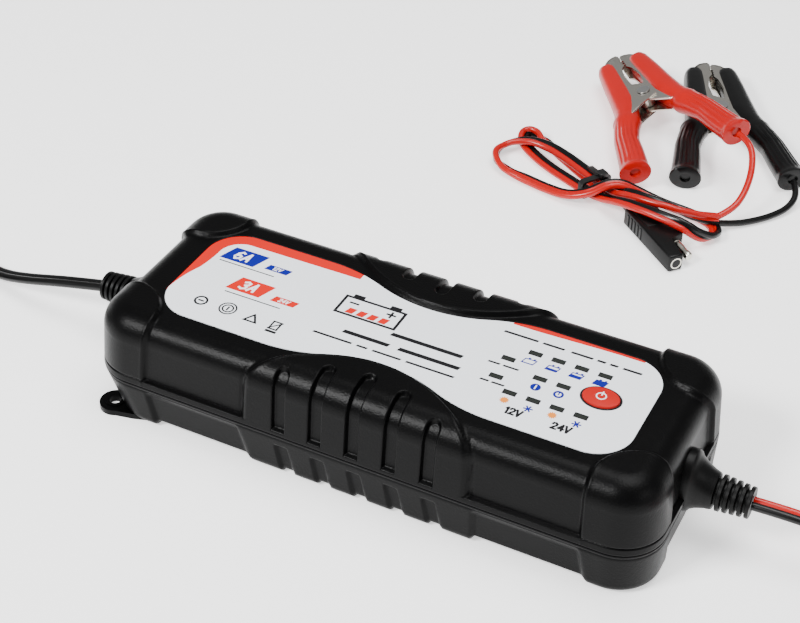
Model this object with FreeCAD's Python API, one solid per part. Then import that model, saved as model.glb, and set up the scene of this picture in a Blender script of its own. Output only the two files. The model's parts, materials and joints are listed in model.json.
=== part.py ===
"""Car battery charger: sealed two-part housing with its electronics, a mains cord, a DC output lead
with a two-pin quick connector, and a separate lead with two spring clamps.

Millimetres. +Z up, origin at the middle of the housing's underside, +X towards the DC output end.
"""
import FreeCAD
import Part
import math
import os

V = FreeCAD.Vector
UP = V(0, 0, 1)

# ---- driving dimensions: housing ----
HALF_L = 110.0          # half length at the parting line
HALF_W = 43.5           # half width at the parting line
CORNER_R = 17.0         # plan radius at the parting line
PARTING_Z = 18.6
LABEL_Z = 44.0          # flat top that carries the label
BUMPER_Z = 45.8         # top of the raised corner bumpers and grips
WALL = 2.4
PANEL_STEP = 1.8        # how far bumpers and grips stand proud of the wall panels
SHOULDER_R = 8.5        # rounding between wall and top
BASE_HALF_L = 101.0
BASE_HALF_W = 39.5
BASE_CORNER_R = 13.0
BUMPER_X = 84.0         # bumpers start here on the long sides
BUMPER_Y = 17.0         # and here on the end walls
GRIP_HALF = 45.5        # half length of each side grip
SLOT_PITCH = 14.5
SLOT_W = 5.0
RELIEF_Z = 21.0         # height of both cord outlets

# ---- driving dimensions: label and controls ----
LABEL_HALF_L = 90.7
LABEL_HALF_W = 27.0
LABEL_CORNER_R = 14.0
WAIST_DEPTH = 9.0       # how far the label narrows at the grips
WAIST_RUN = 22.0        # half of the S-shaped run into the waist
LABEL_T = 0.3
LABEL_SINK = 0.4        # depth of the recess that holds the label
WINDOW_L = 4.0
WINDOW_W = 1.7
BUTTON_X = 73.6
BUTTON_Y = 0.8
BUTTON_A = 6.7          # semi axes of the key
BUTTON_B = 5.1
GAP = 0.05              # assembly clearance between fitted pieces

# ---- driving dimensions: boards and screws ----
PCB_Z = 8.0
PCB_T = 1.6
PCB_HALF_L = 84.0
PCB_HALF_W = 34.0
DISPLAY_Z = 36.2
SCREW_X = 92.0
SCREW_Y = 30.0
EAR_X = 102.0           # ear hole, from the middle
EAR_Y = 38.5
EAR_T = 2.6
EAR_HOLE_R = 2.2

# ---- driving dimensions: cords ----
FLAT_CORD_R = 1.6       # half the thickness of the flat mains cord
TWIN_R = 1.6            # half the thickness of the red and black twin lead
CORE_R = 1.5            # one core on its own
PIN_ROOT_R = 1.5        # connector pin where the moulding holds it
MAINS_COIL = (-248.0, -20.0)
MAINS_COIL_R = 35.0     # middle of the turns
DC_COIL = (232.0, -14.0)
DC_COIL_R = 33.0

# ---- driving dimensions: clamp lead ----
LEAD_X = 16.6           # middle of the clamp lead on the floor
LEAD_Y = 203.5
LEAD_TURN = 26.0        # degrees, its own x axis from the charger's


# ---- general helpers ----
def box(x0, x1, y0, y1, z0, z1):
    return Part.makeBox(x1 - x0, y1 - y0, z1 - z0, V(x0, y0, z0))


def rod(radius, start, end):
    start = V(*start)
    end = V(*end)
    return Part.makeCylinder(radius, (end - start).Length, start, end - start)


def union(shapes):
    first = shapes[0]
    if len(shapes) > 1:
        first = first.multiFuse(shapes[1:])
    return first.removeSplitter()


def rounded_rectangle(half_x, half_y, radius, z):
    """Closed wire of four lines and four quarter arcs, anticlockwise from the right side."""
    edges = []
    corners = [(1, 1), (-1, 1), (-1, -1), (1, -1)]
    inner_x = half_x - radius
    inner_y = half_y - radius
    for number, (sx, sy) in enumerate(corners):
        centre = V(sx * inner_x, sy * inner_y, z)
        start = math.radians(90 * number)
        points = [
            centre + V(math.cos(start + a), math.sin(start + a), 0) * radius
            for a in (0, math.pi / 4, math.pi / 2)
        ]
        edges.append(Part.Arc(*points).toShape())
        nx, ny = corners[(number + 1) % 4]
        next_start = V(nx * inner_x, ny * inner_y, z) + V(
            math.cos(start + math.pi / 2), math.sin(start + math.pi / 2), 0
        ) * radius
        if (next_start - points[2]).Length > 1e-6:
            edges.append(Part.LineSegment(points[2], next_start).toShape())
    return Part.Wire(edges)


def tapered(low, high):
    """Solid between two rounded rectangles, each (half x, half y, corner radius, z)."""
    return Part.makeLoft([rounded_rectangle(*low), rounded_rectangle(*high)], True, True)


def round_top(shape, z, radius):
    edges = [
        e for e in shape.Edges
        if abs(e.BoundBox.ZMin - z) < 1e-4 and abs(e.BoundBox.ZMax - z) < 1e-4
    ]
    return shape.makeFillet(radius, edges)


def ellipse_prism(a, b, x, y, z0, z1):
    curve = Part.Ellipse(V(x, y, z0), a, b).toShape()
    return Part.Face(Part.Wire([curve])).extrude(V(0, 0, z1 - z0))


def polygon_prism(points, z0, z1):
    corners = [V(x, y, z0) for x, y in points]
    wire = Part.makePolygon(corners + [corners[0]])
    return Part.Face(wire).extrude(V(0, 0, z1 - z0))


def placed(shape, turns, offset):
    """Copy of a shape, turned by each (axis, degrees) in order, then moved."""
    copy = shape.copy()
    for axis, degrees in turns:
        copy.rotate(V(0, 0, 0), V(*axis), degrees)
    copy.translate(V(*offset))
    return copy


def label_outline(grow, z):
    """Dog-bone outline of the label, grown outward by an amount."""
    half_l = LABEL_HALF_L + grow
    half_w = LABEL_HALF_W + grow
    corner = LABEL_CORNER_R + grow
    bend_r = (WAIST_RUN ** 2 + (WAIST_DEPTH / 2) ** 2) / WAIST_DEPTH
    outer_r = bend_r + grow
    inner_r = bend_r - grow
    swing = math.asin(WAIST_RUN / bend_r)
    top = []

    def arc(cx, cy, radius, a0, a1):
        mid = (a0 + a1) / 2
        return [V(cx + radius * math.cos(a), cy + radius * math.sin(a), z) for a in (a0, mid, a1)]

    up = math.pi / 2
    top.append(arc(half_l - corner, half_w - corner, corner, 0, up))
    top.append(arc(2 * WAIST_RUN, half_w - outer_r, outer_r, up, up + swing))
    waist_y = half_w - WAIST_DEPTH
    top.append(arc(0, waist_y + inner_r, inner_r, -up + swing, -up))
    left = [[V(-p.x, p.y, z) for p in reversed(a)] for a in reversed(top)]
    upper = top + left
    lower = [[V(-p.x, -p.y, z) for p in a] for a in upper]
    edges = []
    arcs = upper + lower
    for number, points in enumerate(arcs):
        edges.append(Part.Arc(*points).toShape())
        follower = arcs[(number + 1) % len(arcs)][0]
        if (follower - points[2]).Length > 1e-6:
            edges.append(Part.LineSegment(points[2], follower).toShape())
    return Part.Wire(edges)


def window_places():
    """Centres of the twelve indicator windows."""
    pitch = 8.75
    rows = [(44.4, 12.6), (51.1, 0.6), (44.7, -11.1)]
    counts = [4, 2, 4]
    places = [(37.0, 5.6), (37.0, -5.2)]
    for (x, y), count in zip(rows, counts):
        places += [(x + pitch * n, y) for n in range(count)]
    return places


# ---- cord helpers ----
def cord_path(points, name):
    """Straight runs joined by tangent arcs; prints the arc radii."""
    points = [V(*p) for p in points]
    edges = []
    radii = []
    last = points[0]
    for before, corner, after in zip(points, points[1:], points[2:]):
        into = corner - before
        out = after - corner
        turn = into.getAngle(out)
        reach = 0.45 * min(into.Length, out.Length)
        radii.append(reach / math.tan(turn / 2))
        into.normalize()
        out.normalize()
        start = corner - into * reach
        end = corner + out * reach
        inward = out - into
        inward.normalize()
        radius = radii[-1]
        middle = corner + inward * (radius / math.cos(turn / 2) - radius)
        edges.append(Part.LineSegment(last, start).toShape())
        edges.append(Part.Arc(start, middle, end).toShape())
        last = end
    edges.append(Part.LineSegment(last, points[-1]).toShape())
    print(name, "arc radii", [round(r, 1) for r in radii])
    return Part.Wire(edges)


def cord_tube(points, radius, name):
    path = cord_path(points, name)
    start = V(*points[0])
    along = V(*points[1]) - start
    ring = Part.Wire([Part.Circle(start, along, radius).toShape()])
    solid = path.makePipeShell([ring], True, False)
    expected = math.pi * radius ** 2 * path.Length
    print(name, "length", round(path.Length, 1), "volume ratio", round(solid.Volume / expected, 4))
    return solid


def coil_solid(centre, middle_r, width, layers, thickness):
    """Ring with the outer shape of a coil two turns wide."""
    x, y = centre
    height = layers * thickness
    outer = Part.makeCylinder(middle_r + width, height, V(x, y, 0))
    inner = Part.makeCylinder(middle_r - width, height, V(x, y, 0))
    return outer.cut(inner)


def coil_tie(centre, middle_r, width, height, angle):
    """Flat band once round the bundle of turns."""
    band = 1.2
    near = middle_r - width - 0.4
    far = middle_r + width + 0.1
    inner = box(near, far, -4.5, 4.5, -0.1, height + 0.1)
    outer = box(near - band, far + band, -3.5, 3.5, 0, height + 0.1 + band)
    return placed(outer.cut(inner), [((0, 0, 1), angle)], (centre[0], centre[1], 0))


# ---- housing ----
def lower_form():
    return tapered(
        (BASE_HALF_L, BASE_HALF_W, BASE_CORNER_R, 0), (HALF_L, HALF_W, CORNER_R, PARTING_Z)
    )


def relief_envelope(side):
    """Space that a strain relief takes in the end wall."""
    neck = rod(6.0 + GAP, (side * 96, 0, RELIEF_Z), (side * 114, 0, RELIEF_Z))
    flange = rod(8.5 + GAP, (side * 101.4, 0, RELIEF_Z), (side * 104.1, 0, RELIEF_Z))
    plate = ellipse_prism(10.5 + GAP, 8.0 + GAP, 0, 0, 0, 8.0)
    plate = placed(plate, [((0, 1, 0), 90)], (108.0, 0, RELIEF_Z))
    if side < 0:
        plate.rotate(V(0, 0, 0), UP, 180)
    return neck.fuse(flange).fuse(plate)


def outlet_pad(side):
    """Flat-faced pad behind the strain relief's outer flange."""
    x0, x1 = sorted((side * 104.1, side * 108.0))
    return box(x0, x1, -13, 13, 8.0, 33.0)


def screw_post_places():
    return [(sx * SCREW_X, sy * SCREW_Y) for sx in (-1, 1) for sy in (-1, 1)]


def pcb_screw_places():
    return [(sx * 79.0, sy * 29.5) for sx in (-1, 1) for sy in (-1, 1)]


def ear(side):
    y = side * EAR_Y
    half = 6.0
    tab = box(-EAR_X, -82, y - half, y + half, 0, EAR_T)
    tip = Part.makeCylinder(half, EAR_T, V(-EAR_X, y, 0))
    return tab.fuse(tip)


def lower_housing():
    outer = lower_form()
    cavity = tapered(
        (BASE_HALF_L - WALL, BASE_HALF_W - WALL, BASE_CORNER_R - WALL, WALL),
        (HALF_L - WALL, HALF_W - WALL, CORNER_R - WALL, PARTING_Z),
    )
    shell = outer.cut(cavity)
    added = [ear(-1), ear(1)]
    for x, y in screw_post_places():
        added.append(Part.makeCylinder(4.2, PARTING_Z - 1.0, V(x, y, 1.0)))
    for x, y in pcb_screw_places():
        added.append(Part.makeCylinder(3.2, PCB_Z - 1.0, V(x, y, 1.0)))
    for side in (-1, 1):
        added.append(outlet_pad(side).common(outer))
    shell = union([shell] + added)
    cuts = [relief_envelope(-1), relief_envelope(1), seal_ring(GAP)]
    for x, y in screw_post_places():
        cuts.append(Part.makeCylinder(3.3, 4.0, V(x, y, 0)))
        cuts.append(Part.makeCylinder(1.6, PARTING_Z, V(x, y, 0)))
    for x, y in pcb_screw_places():
        cuts.append(Part.makeCylinder(1.25, PCB_Z - 3.5, V(x, y, 3.5)))
    for side in (-1, 1):
        cuts.append(Part.makeCylinder(EAR_HOLE_R, 20, V(-EAR_X, side * EAR_Y, -1)))
    return shell.cut(Part.makeCompound(cuts))


def seal_ring(clearance):
    """Gasket in the rim of the lower half."""
    height = 1.0 + clearance
    outer = Part.Face(rounded_rectangle(
        HALF_L - 0.8 + clearance, HALF_W - 0.8 + clearance, CORNER_R - 0.8 + clearance, 0
    )).extrude(V(0, 0, height))
    inner = Part.Face(rounded_rectangle(
        HALF_L - 1.9 - clearance, HALF_W - 1.9 - clearance, CORNER_R - 1.9 - clearance, 0
    )).extrude(V(0, 0, height))
    ring = outer.cut(inner)
    ring.translate(V(0, 0, PARTING_Z - height))
    for side in (-1, 1):
        ring = ring.cut(relief_envelope(side))
    return ring


def upper_form(inset, top, shoulder):
    low = (HALF_L - inset, HALF_W - inset, CORNER_R - inset, PARTING_Z)
    high = (HALF_L - 2.2 - inset, HALF_W - 2.2 - inset, CORNER_R - 2.2 - inset, top)
    return round_top(tapered(low, high), top, shoulder)


def grip_region(side):
    """Lens that covers one side grip, seen from above."""
    rise = HALF_W - (LABEL_HALF_W - WAIST_DEPTH) - 0.8
    reach = GRIP_HALF
    radius = (reach ** 2 + rise ** 2) / (2 * rise)
    centre_y = side * (LABEL_HALF_W - WAIST_DEPTH + 0.8 + radius)
    disc = Part.makeCylinder(radius, 60, V(0, centre_y, 0))
    return disc.common(box(-reach, reach, *sorted((0, side * 60)), PARTING_Z + 2.6, 60))


def bumper_regions():
    regions = []
    for sx in (-1, 1):
        for sy in (-1, 1):
            xs = sorted((sx * BUMPER_X, sx * 130))
            ys = sorted((sy * BUMPER_Y, sy * 60))
            regions.append(box(xs[0], xs[1], ys[0], ys[1], PARTING_Z, 60))
    return regions


def grip_slots():
    slots = []
    for side in (-1, 1):
        for number in range(-2, 3):
            x = number * SLOT_PITCH
            top = 39.0 - 2.4 * abs(number)
            ys = sorted((side * (HALF_W - 3.4), side * 50))
            slots.append(box(x - SLOT_W / 2, x + SLOT_W / 2, ys[0], ys[1], PARTING_Z + 4, top))
    return slots


def upper_housing():
    raised = upper_form(0, BUMPER_Z, SHOULDER_R)
    panel = upper_form(PANEL_STEP, LABEL_Z, SHOULDER_R)
    rim = box(-120, 120, -60, 60, PARTING_Z, PARTING_Z + 2.6)
    label_space = Part.Face(label_outline(1.2, LABEL_Z)).extrude(V(0, 0, 10))
    regions = bumper_regions() + [grip_region(-1), grip_region(1), rim]
    proud = raised.common(union(regions)).cut(label_space)
    proud = proud.cut(Part.makeCompound(grip_slots()))
    cavity = upper_form(PANEL_STEP + WALL, LABEL_Z - WALL, SHOULDER_R - 2.0)
    shell = union([panel, proud]).cut(cavity)
    added = []
    for x, y in screw_post_places():
        added.append(Part.makeCylinder(4.2, LABEL_Z - 2.0 - PARTING_Z, V(x, y, PARTING_Z)))
    for x in (33.0, 81.0):
        for y in (-16.5, 16.5):
            top = DISPLAY_Z + PCB_T
            added.append(Part.makeCylinder(2.2, LABEL_Z - 1.0 - top, V(x, y, top)))
    for side in (-1, 1):
        added.append(outlet_pad(side).common(raised))
    shell = union([shell] + added)
    cuts = [relief_envelope(-1), relief_envelope(1)]
    cuts.append(Part.Face(label_outline(0.15, LABEL_Z - LABEL_SINK)).extrude(V(0, 0, 1)))
    for x, y in screw_post_places():
        cuts.append(Part.makeCylinder(1.35 + GAP, 12.5, V(x, y, PARTING_Z)))
    for x, y in window_places():
        cuts.append(window_block(x, y, GAP))
    cuts.append(ellipse_prism(BUTTON_A + 0.15, BUTTON_B + 0.15, BUTTON_X, BUTTON_Y, 40, 50))
    return shell.cut(Part.makeCompound(cuts))


def window_block(x, y, grow):
    half_l = WINDOW_L / 2 + grow
    half_w = WINDOW_W / 2 + grow
    return box(x - half_l, x + half_l, y - half_w, y + half_w, 39.6 - grow, LABEL_Z - 0.05)


def housing_screws():
    screws = []
    for x, y in screw_post_places():
        head = Part.makeCylinder(3.0, 2.2, V(x, y, 1.6))
        shank = Part.makeCylinder(1.35, 26.5, V(x, y, 3.6))
        slot = box(x - 0.4, x + 0.4, y - 2.2, y + 2.2, 1.5, 2.6)
        cross = box(x - 2.2, x + 2.2, y - 0.4, y + 0.4, 1.5, 2.6)
        screws.append(head.fuse(shank).cut(slot.fuse(cross)))
    return Part.makeCompound(screws)


def strain_relief(side, body_end):
    """Moulded grommet: inner flange, neck through the wall, oval plate, ribbed tail."""
    x_plate = 108.0
    ribs = 5
    cord_hole = 2.2
    parts = [
        rod(8.5, (102.0, 0, 0), (104.1 - GAP, 0, 0)),
        rod(6.0, (100.0, 0, 0), (x_plate + 1, 0, 0)),
    ]
    plate = ellipse_prism(10.5, 8.0, 0, 0, 0, 2.0)
    parts.append(placed(plate, [((0, 1, 0), 90)], (x_plate, 0, 0)))
    cone = Part.makeCone(7.4, 6.0, 7.0, V(x_plate + 1.5, 0, 0), V(1, 0, 0))
    parts.append(cone)
    tail_start = x_plate + 8.0
    parts.append(rod(4.6, (tail_start, 0, 0), (body_end, 0, 0)))
    pitch = (body_end - tail_start) / ribs
    for number in range(ribs):
        x = tail_start + pitch * (number + 0.35)
        parts.append(rod(5.9 - 0.2 * number, (x, 0, 0), (x + pitch * 0.62, 0, 0)))
    body = union(parts)
    body = body.cut(rod(cord_hole, (90, 0, 0), (140, 0, 0)))
    if side < 0:
        body.rotate(V(0, 0, 0), UP, 180)
    body.translate(V(0, 0, RELIEF_Z))
    return body


def label_overlay():
    z = LABEL_Z - LABEL_SINK
    sheet = Part.Face(label_outline(0, z)).extrude(V(0, 0, LABEL_T))
    cuts = [window_block(x, y, GAP) for x, y in window_places()]
    cuts.append(ellipse_prism(BUTTON_A + 0.15, BUTTON_B + 0.15, BUTTON_X, BUTTON_Y, 40, 50))
    return sheet.cut(Part.makeCompound(cuts))


def mode_button():
    cap = ellipse_prism(BUTTON_A, BUTTON_B, BUTTON_X, BUTTON_Y, 40.3, LABEL_Z + 1.0)
    top = [e for e in cap.Edges if abs(e.BoundBox.ZMin - LABEL_Z - 1.0) < 1e-3]
    cap = cap.makeFillet(0.5, top)
    lip = ellipse_prism(BUTTON_A + 1.0, BUTTON_B + 1.0, BUTTON_X, BUTTON_Y, 40.3, 41.4)
    return cap.fuse(lip).removeSplitter()


def led_windows():
    return Part.makeCompound([window_block(x, y, 0) for x, y in window_places()])


def rating_label():
    return box(-45, 45, -22, 22, 0.05, 0.3)


def label_pocket():
    return box(-46, 46, -23, 23, -1, 0.3)


# ---- electronics ----
def main_pcb():
    board = box(-PCB_HALF_L, PCB_HALF_L, -PCB_HALF_W, PCB_HALF_W, PCB_Z, PCB_Z + PCB_T)
    holes = [Part.makeCylinder(1.5, 10, V(x, y, 4)) for x, y in pcb_screw_places()]
    return board.cut(Part.makeCompound(holes))


def pcb_screws():
    top = PCB_Z + PCB_T
    screws = []
    for x, y in pcb_screw_places():
        head = Part.makeCylinder(2.5, 1.6, V(x, y, top))
        screws.append(head.fuse(Part.makeCylinder(1.2, 5.0, V(x, y, top - 5.0))))
    return Part.makeCompound(screws)


def on_board(shape, x, y, z=PCB_Z + PCB_T):
    shape.translate(V(x, y, z))
    return shape


def transformer_core():
    frame = box(-18, 18, -6, 6, 0, 28)
    windows = [box(-11, 11, -7, 7, 4, 10.5), box(-11, 11, -7, 7, 17.5, 24)]
    return on_board(frame.cut(Part.makeCompound(windows)), -8, 0)


def transformer_winding():
    outer = box(-10.8, 10.8, -12.3, 12.3, 4.2, 23.8)
    outer = outer.makeFillet(3.0, [e for e in outer.Edges if e.BoundBox.XLength > 20])
    leg = box(-12, 12, -6 - GAP, 6 + GAP, 10.5 - GAP, 17.5 + GAP)
    return on_board(outer.cut(leg), -8, 0)


def can(radius, height):
    body = Part.makeCylinder(radius, height)
    top = [e for e in body.Edges if abs(e.BoundBox.ZMin - height) < 1e-4]
    return body.makeFillet(0.8, top)


def bulk_capacitor():
    return on_board(can(9.0, 27.0), -46, 14)


def output_capacitors():
    places = [(34, 14), (34, -14), (48, 14)]
    return Part.makeCompound([on_board(can(5.0, 20.0), x, y) for x, y in places])


def heat_sink(length, side, x, y):
    plate = box(-length / 2, length / 2, -1, 1, 0, 22)
    fins = [
        box(-length / 2 + 6 * n + 1, -length / 2 + 6 * n + 2.2, *sorted((side, side * 5)), 0, 22)
        for n in range(int(length / 6))
    ]
    return on_board(union([plate] + fins), x, y)


def power_package(side, x, y):
    """Flat power semiconductor with its tab against a heat sink."""
    tab = box(-5, 5, *sorted((0, side * 1.2)), 3, 18.5)
    body = box(-5, 5, *sorted((side * 1.2, side * 4.4)), 3, 12)
    legs = [box(n * 2.5 - 0.4, n * 2.5 + 0.4, *sorted((side * 2, side * 2.6)), 0, 4) for n in (-1, 0, 1)]
    tab = tab.cut(rod(1.8, (0, -5, 15.5), (0, 5, 15.5)))
    return on_board(union([tab, body] + legs), x, y)


def bridge_rectifier():
    body = box(-10, 10, -2.5, 2.5, 4, 18)
    legs = [rod(0.5, (n * 5 - 7.5, 0, 0), (n * 5 - 7.5, 0, 5)) for n in range(4)]
    return on_board(union([body] + legs), -44, -16)


def toroid(radius, tube, x, y):
    ring = Part.makeTorus(radius, tube, V(0, 0, tube + 0.2))
    base = box(-radius, radius, -radius, radius, 0, 1.0)
    return on_board(ring.fuse(base).removeSplitter(), x, y)


def x_capacitor():
    body = box(-9, 9, -4, 4, 0, 14)
    return on_board(body.makeFillet(0.8, body.Edges), -68, 0)


def fuse_link():
    glass = rod(2.5, (-7, 0, 4), (7, 0, 4))
    caps = [rod(2.8, (-10, 0, 4), (-6, 0, 4)), rod(2.8, (6, 0, 4), (10, 0, 4))]
    clips = [box(-9, -7, -2.8, 2.8, 0, 4), box(7, 9, -2.8, 2.8, 0, 4)]
    return on_board(union([glass] + caps + clips), -68, 12)


def output_relay():
    body = box(-9.5, 9.5, -7.5, 7.5, 0, 15)
    return on_board(body.makeFillet(0.6, body.Edges), 66, -6)


def controller_chip():
    body = box(-5, 5, -3, 3, 0.2, 1.8)
    pins = [
        box(-4.4 + 1.27 * n, -4.0 + 1.27 * n, *sorted((s * 2.9, s * 4.2)), 0, 0.9)
        for n in range(7) for s in (-1, 1)
    ]
    return on_board(union([body] + pins), 24, 0)


def display_pcb():
    return box(30, 84, -20, 20, DISPLAY_Z, DISPLAY_Z + PCB_T)


def status_leds():
    top = DISPLAY_Z + PCB_T
    return Part.makeCompound([box(x - 1, x + 1, y - 0.6, y + 0.6, top, top + 0.9) for x, y in window_places()])


def tact_switch():
    top = DISPLAY_Z + PCB_T
    body = box(BUTTON_X - 3, BUTTON_X + 3, BUTTON_Y - 3, BUTTON_Y + 3, top, top + 1.4)
    plunger = Part.makeCylinder(1.7, 0.5, V(BUTTON_X, BUTTON_Y, top + 1.4))
    return body.fuse(plunger).removeSplitter()


def display_ribbon():
    """Flat cable from the display board down to the main board."""
    low = PCB_Z + PCB_T
    thick = 0.8
    down = box(26, 26 + thick, 5, 11, low, DISPLAY_Z - 0.8)
    across = box(26, 36, 5, 11, DISPLAY_Z - 0.8, DISPLAY_Z)
    return down.fuse(across).removeSplitter()


def internal_wires():
    """Two insulated wires from each cord outlet down to the board."""
    wires = []
    board = PCB_Z + PCB_T
    for end in (-1, 1):
        for side in (-1, 1):
            route = [(end * 99.8, side * 1.1, RELIEF_Z), (end * 90, side * 3, RELIEF_Z - 0.5)]
            route += [(end * 82.5, side * 5, 17), (end * 82.5, side * 5, board)]
            wires.append(cord_tube(route, 0.9, "internal wire"))
    return Part.makeCompound(wires)


# ---- cords ----
MAINS_ROUTE = [
    (-130.0, 0.0, RELIEF_Z - 0.6), (-142.0, 0.2, 17.4), (-155.0, -0.2, 14.4), (-170.0, 0.6, 9.6),
    (-185.0, 3.0, 4.8), (-200.0, 8.0, 2.2), (-216.0, 14.5, 1.9), (-232.0, 18.5, 1.8),
    (-246.0, 18.2, 1.8),
]
DC_ROUTE = [
    (131.0, 0.0, RELIEF_Z), (144.0, 0.2, 21.6), (158.0, 1.6, 19.6), (171.0, 5.0, 13.6),
    (184.0, 10.0, 7.0), (198.0, 16.0, 2.8), (213.0, 21.0, 1.8), (229.0, 22.3, 1.8),
]


def quick_connector():
    """Two-pole connector, along +X: solid back, a socket arm in front and a bare pin beside it."""
    half_t = 4.0
    back = box(0, 27, -7.2, 7.2, -half_t, half_t)
    arm = box(27, 40, -7.2, -0.4, -half_t, half_t)
    tail = box(-6, 0, -4.6, 4.6, -2.8, 2.8)
    body = union([back, arm])
    edges = [e for e in body.Edges if abs(e.BoundBox.ZMin) > 3.9 and e.BoundBox.ZLength < 0.01]
    body = body.makeFillet(1.0, edges).fuse(tail).removeSplitter()
    bore = rod(3.0, (24, -3.8, 0), (41, -3.8, 0))
    pin_hole = rod(PIN_ROOT_R, (15, 3.6, 0), (28, 3.6, 0))
    cord_hole = rod(2.3, (-7, 0, 0), (-2, 0, 0))
    return body.cut(Part.makeCompound([bore, pin_hole, cord_hole]))


def connector_contacts():
    """Bare pin and lined socket."""
    pin = rod(1.95, (27, 3.6, 0), (38.5, 3.6, 0))
    pin = pin.makeFillet(0.8, [e for e in pin.Edges if e.BoundBox.XMin > 38.4])
    pin = pin.fuse(rod(PIN_ROOT_R, (15, 3.6, 0), (27, 3.6, 0)))
    tube = rod(3.0, (24, -3.8, 0), (39, -3.8, 0))
    socket = tube.cut(rod(2.0, (27, -3.8, 0), (40, -3.8, 0)))
    return Part.makeCompound([pin, socket])


DC_CONNECTOR_AT = (DC_COIL[0] - 22, DC_COIL[1] + 6, 13.8)
DC_CONNECTOR_TURN = -18.0


def on_dc_coil(shape):
    return placed(shape, [((0, 0, 1), DC_CONNECTOR_TURN)], DC_CONNECTOR_AT)


def mains_plug():
    """Two-blade plug body, along +X."""
    body = box(0, 22, -12.5, 12.5, -8.5, 8.5)
    sides = [e for e in body.Edges if e.BoundBox.XLength > 20]
    body = body.makeFillet(5.0, sides)
    tail = Part.makeCone(3.6, 7.4, 18, V(-18, 0, 0), V(1, 0, 0))
    body = body.fuse(tail).removeSplitter()
    slots = [box(12, 23, s * 6.35 - 0.75, s * 6.35 + 0.75, -3.175, 3.175) for s in (-1, 1)]
    slots.append(rod(2.0, (-19, 0, 0), (-10, 0, 0)))
    return body.cut(Part.makeCompound(slots))


def plug_blades():
    blades = []
    for side in (-1, 1):
        y = side * 6.35
        blade = box(12, 39, y - 0.75, y + 0.75, -3.175, 3.175)
        blades.append(blade.cut(rod(1.6, (34, y - 2, 0), (34, y + 2, 0))))
    return Part.makeCompound(blades)


PLUG_AT = (MAINS_COIL[0] + 6, MAINS_COIL[1] - 14, 22.2)
PLUG_TURN = 100.0


def on_mains_coil(shape):
    return placed(shape, [((0, 0, 1), PLUG_TURN)], PLUG_AT)


# ---- clamp lead: everything lies in a flat plan that is turned and moved as one ----
def on_floor(a, b, z):
    """Point of the clamp lead's plan, a to its right and b away from the charger."""
    turn = math.radians(LEAD_TURN)
    x = LEAD_X + a * math.cos(turn) - b * math.sin(turn)
    y = LEAD_Y + a * math.sin(turn) + b * math.cos(turn)
    return (x, y, z)


LEAD_CONNECTOR_REAR = (-3.8, -34.4)
LEAD_CONNECTOR_TURN = -66.5
TWIN_PLAN = [
    (-4.8, -32.1, 4.0), (-11.4, -22.4, 2.6), (-18.2, -13.2, 1.8), (-25.4, -1.6, 1.8), (-33.0, 11.6, 1.8),
    (-40.0, 23.6, 1.8), (-44.6, 31.0, 1.8), (-50.4, 29.6, 1.8), (-50.6, 22.8, 1.8), (-46.4, 13.6, 1.8),
    (-40.0, 3.2, 1.8), (-32.0, -6.6, 1.8), (-24.0, -16.4, 1.9), (-17.4, -26.2, 4.6), (-10.4, -36.4, 10.0),
    (-2.0, -43.8, 11.2), (6.0, -49.4, 11.2), (13.4, -53.8, 10.4), (20.8, -55.2, 5.2), (27.2, -51.6, 2.0),
    (29.6, -44.6, 1.8), (26.8, -37.4, 1.8), (18.8, -31.2, 1.9), (8.2, -27.0, 3.4), (-3.0, -23.6, 7.4),
    (-10.0, -22.4, 10.6), (-16.8, -23.2, 10.4), (-24.8, -24.6, 6.4), (-33.4, -21.8, 3.2), (-42.0, -14.6, 1.8),
    (-50.8, -7.4, 1.8), (-60.0, -0.6, 1.8), (-65.2, 9.6, 1.8), (-60.2, 19.0, 2.8), (-49.6, 20.2, 5.6),
    (-39.6, 15.2, 5.6), (-31.0, 4.8, 5.5), (-24.4, -4.8, 5.4), (-18.2, -13.4, 5.4), (-12.4, -22.4, 6.2),
    (-7.2, -30.0, 10.4), (0.6, -36.2, 11.4), (10.0, -40.0, 10.4), (20.2, -41.8, 6.4), (30.6, -41.4, 5.3),
]
RED_PIVOT = (7.6, 47.2, 12.7)
BLACK_PIVOT = (43.6, 46.6, 5.7)
RED_TURN = LEAD_TURN + 12.0
RED_TILT = 19.0         # degrees; one arm rests on the black clamp
RED_DIP = 5.0           # and its handles are propped a little higher than its tips
BLACK_TURN = LEAD_TURN + 0.5
RED_CORE_PLAN = [
    (31.0, -40.6, 7.0), (37.0, -37.4, 8.2), (42.2, -31.4, 12.2), (45.6, -24.2, 18.0), (46.6, -16.6, 23.8),
    (44.8, -10.4, 26.5), (42.1, -4.2, 25.7),
]
BLACK_CORE_PLAN = [
    (31.2, -41.9, 3.7), (38.4, -39.8, 2.2), (46.6, -36.8, 1.8), (55.6, -32.6, 1.8), (64.0, -26.6, 2.4),
    (68.9, -18.6, 4.6), (68.4, -10.6, 5.7),
]


def red_turns():
    return [((0, 1, 0), -RED_TILT), ((1, 0, 0), -RED_DIP), ((0, 0, 1), RED_TURN)]


def black_turns():
    return [((0, 0, 1), BLACK_TURN)]


def arm_flange(reach):
    """Outline of one stamped arm, for the left arm, pivot at the origin."""
    return [
        (-0.2, 37.0), (-0.2, 35.2), (-1.4, 34.2), (-0.2, 33.2), (-1.4, 32.2), (-0.2, 31.2), (-1.4, 30.2),
        (-0.2, 29.2), (-2.4, 26.0), (-3.8, 18.0), (-3.0, 9.0), (reach, 5.5), (reach, -5.5), (-4.0, -10.0),
        (-11.0, -15.0), (-20.5, -50.0), (-23.5, -49.2), (-15.8, -16.0), (-12.6, 0.0), (-10.4, 20.0),
        (-9.4, 33.0), (-6.4, 36.6),
    ]


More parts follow.
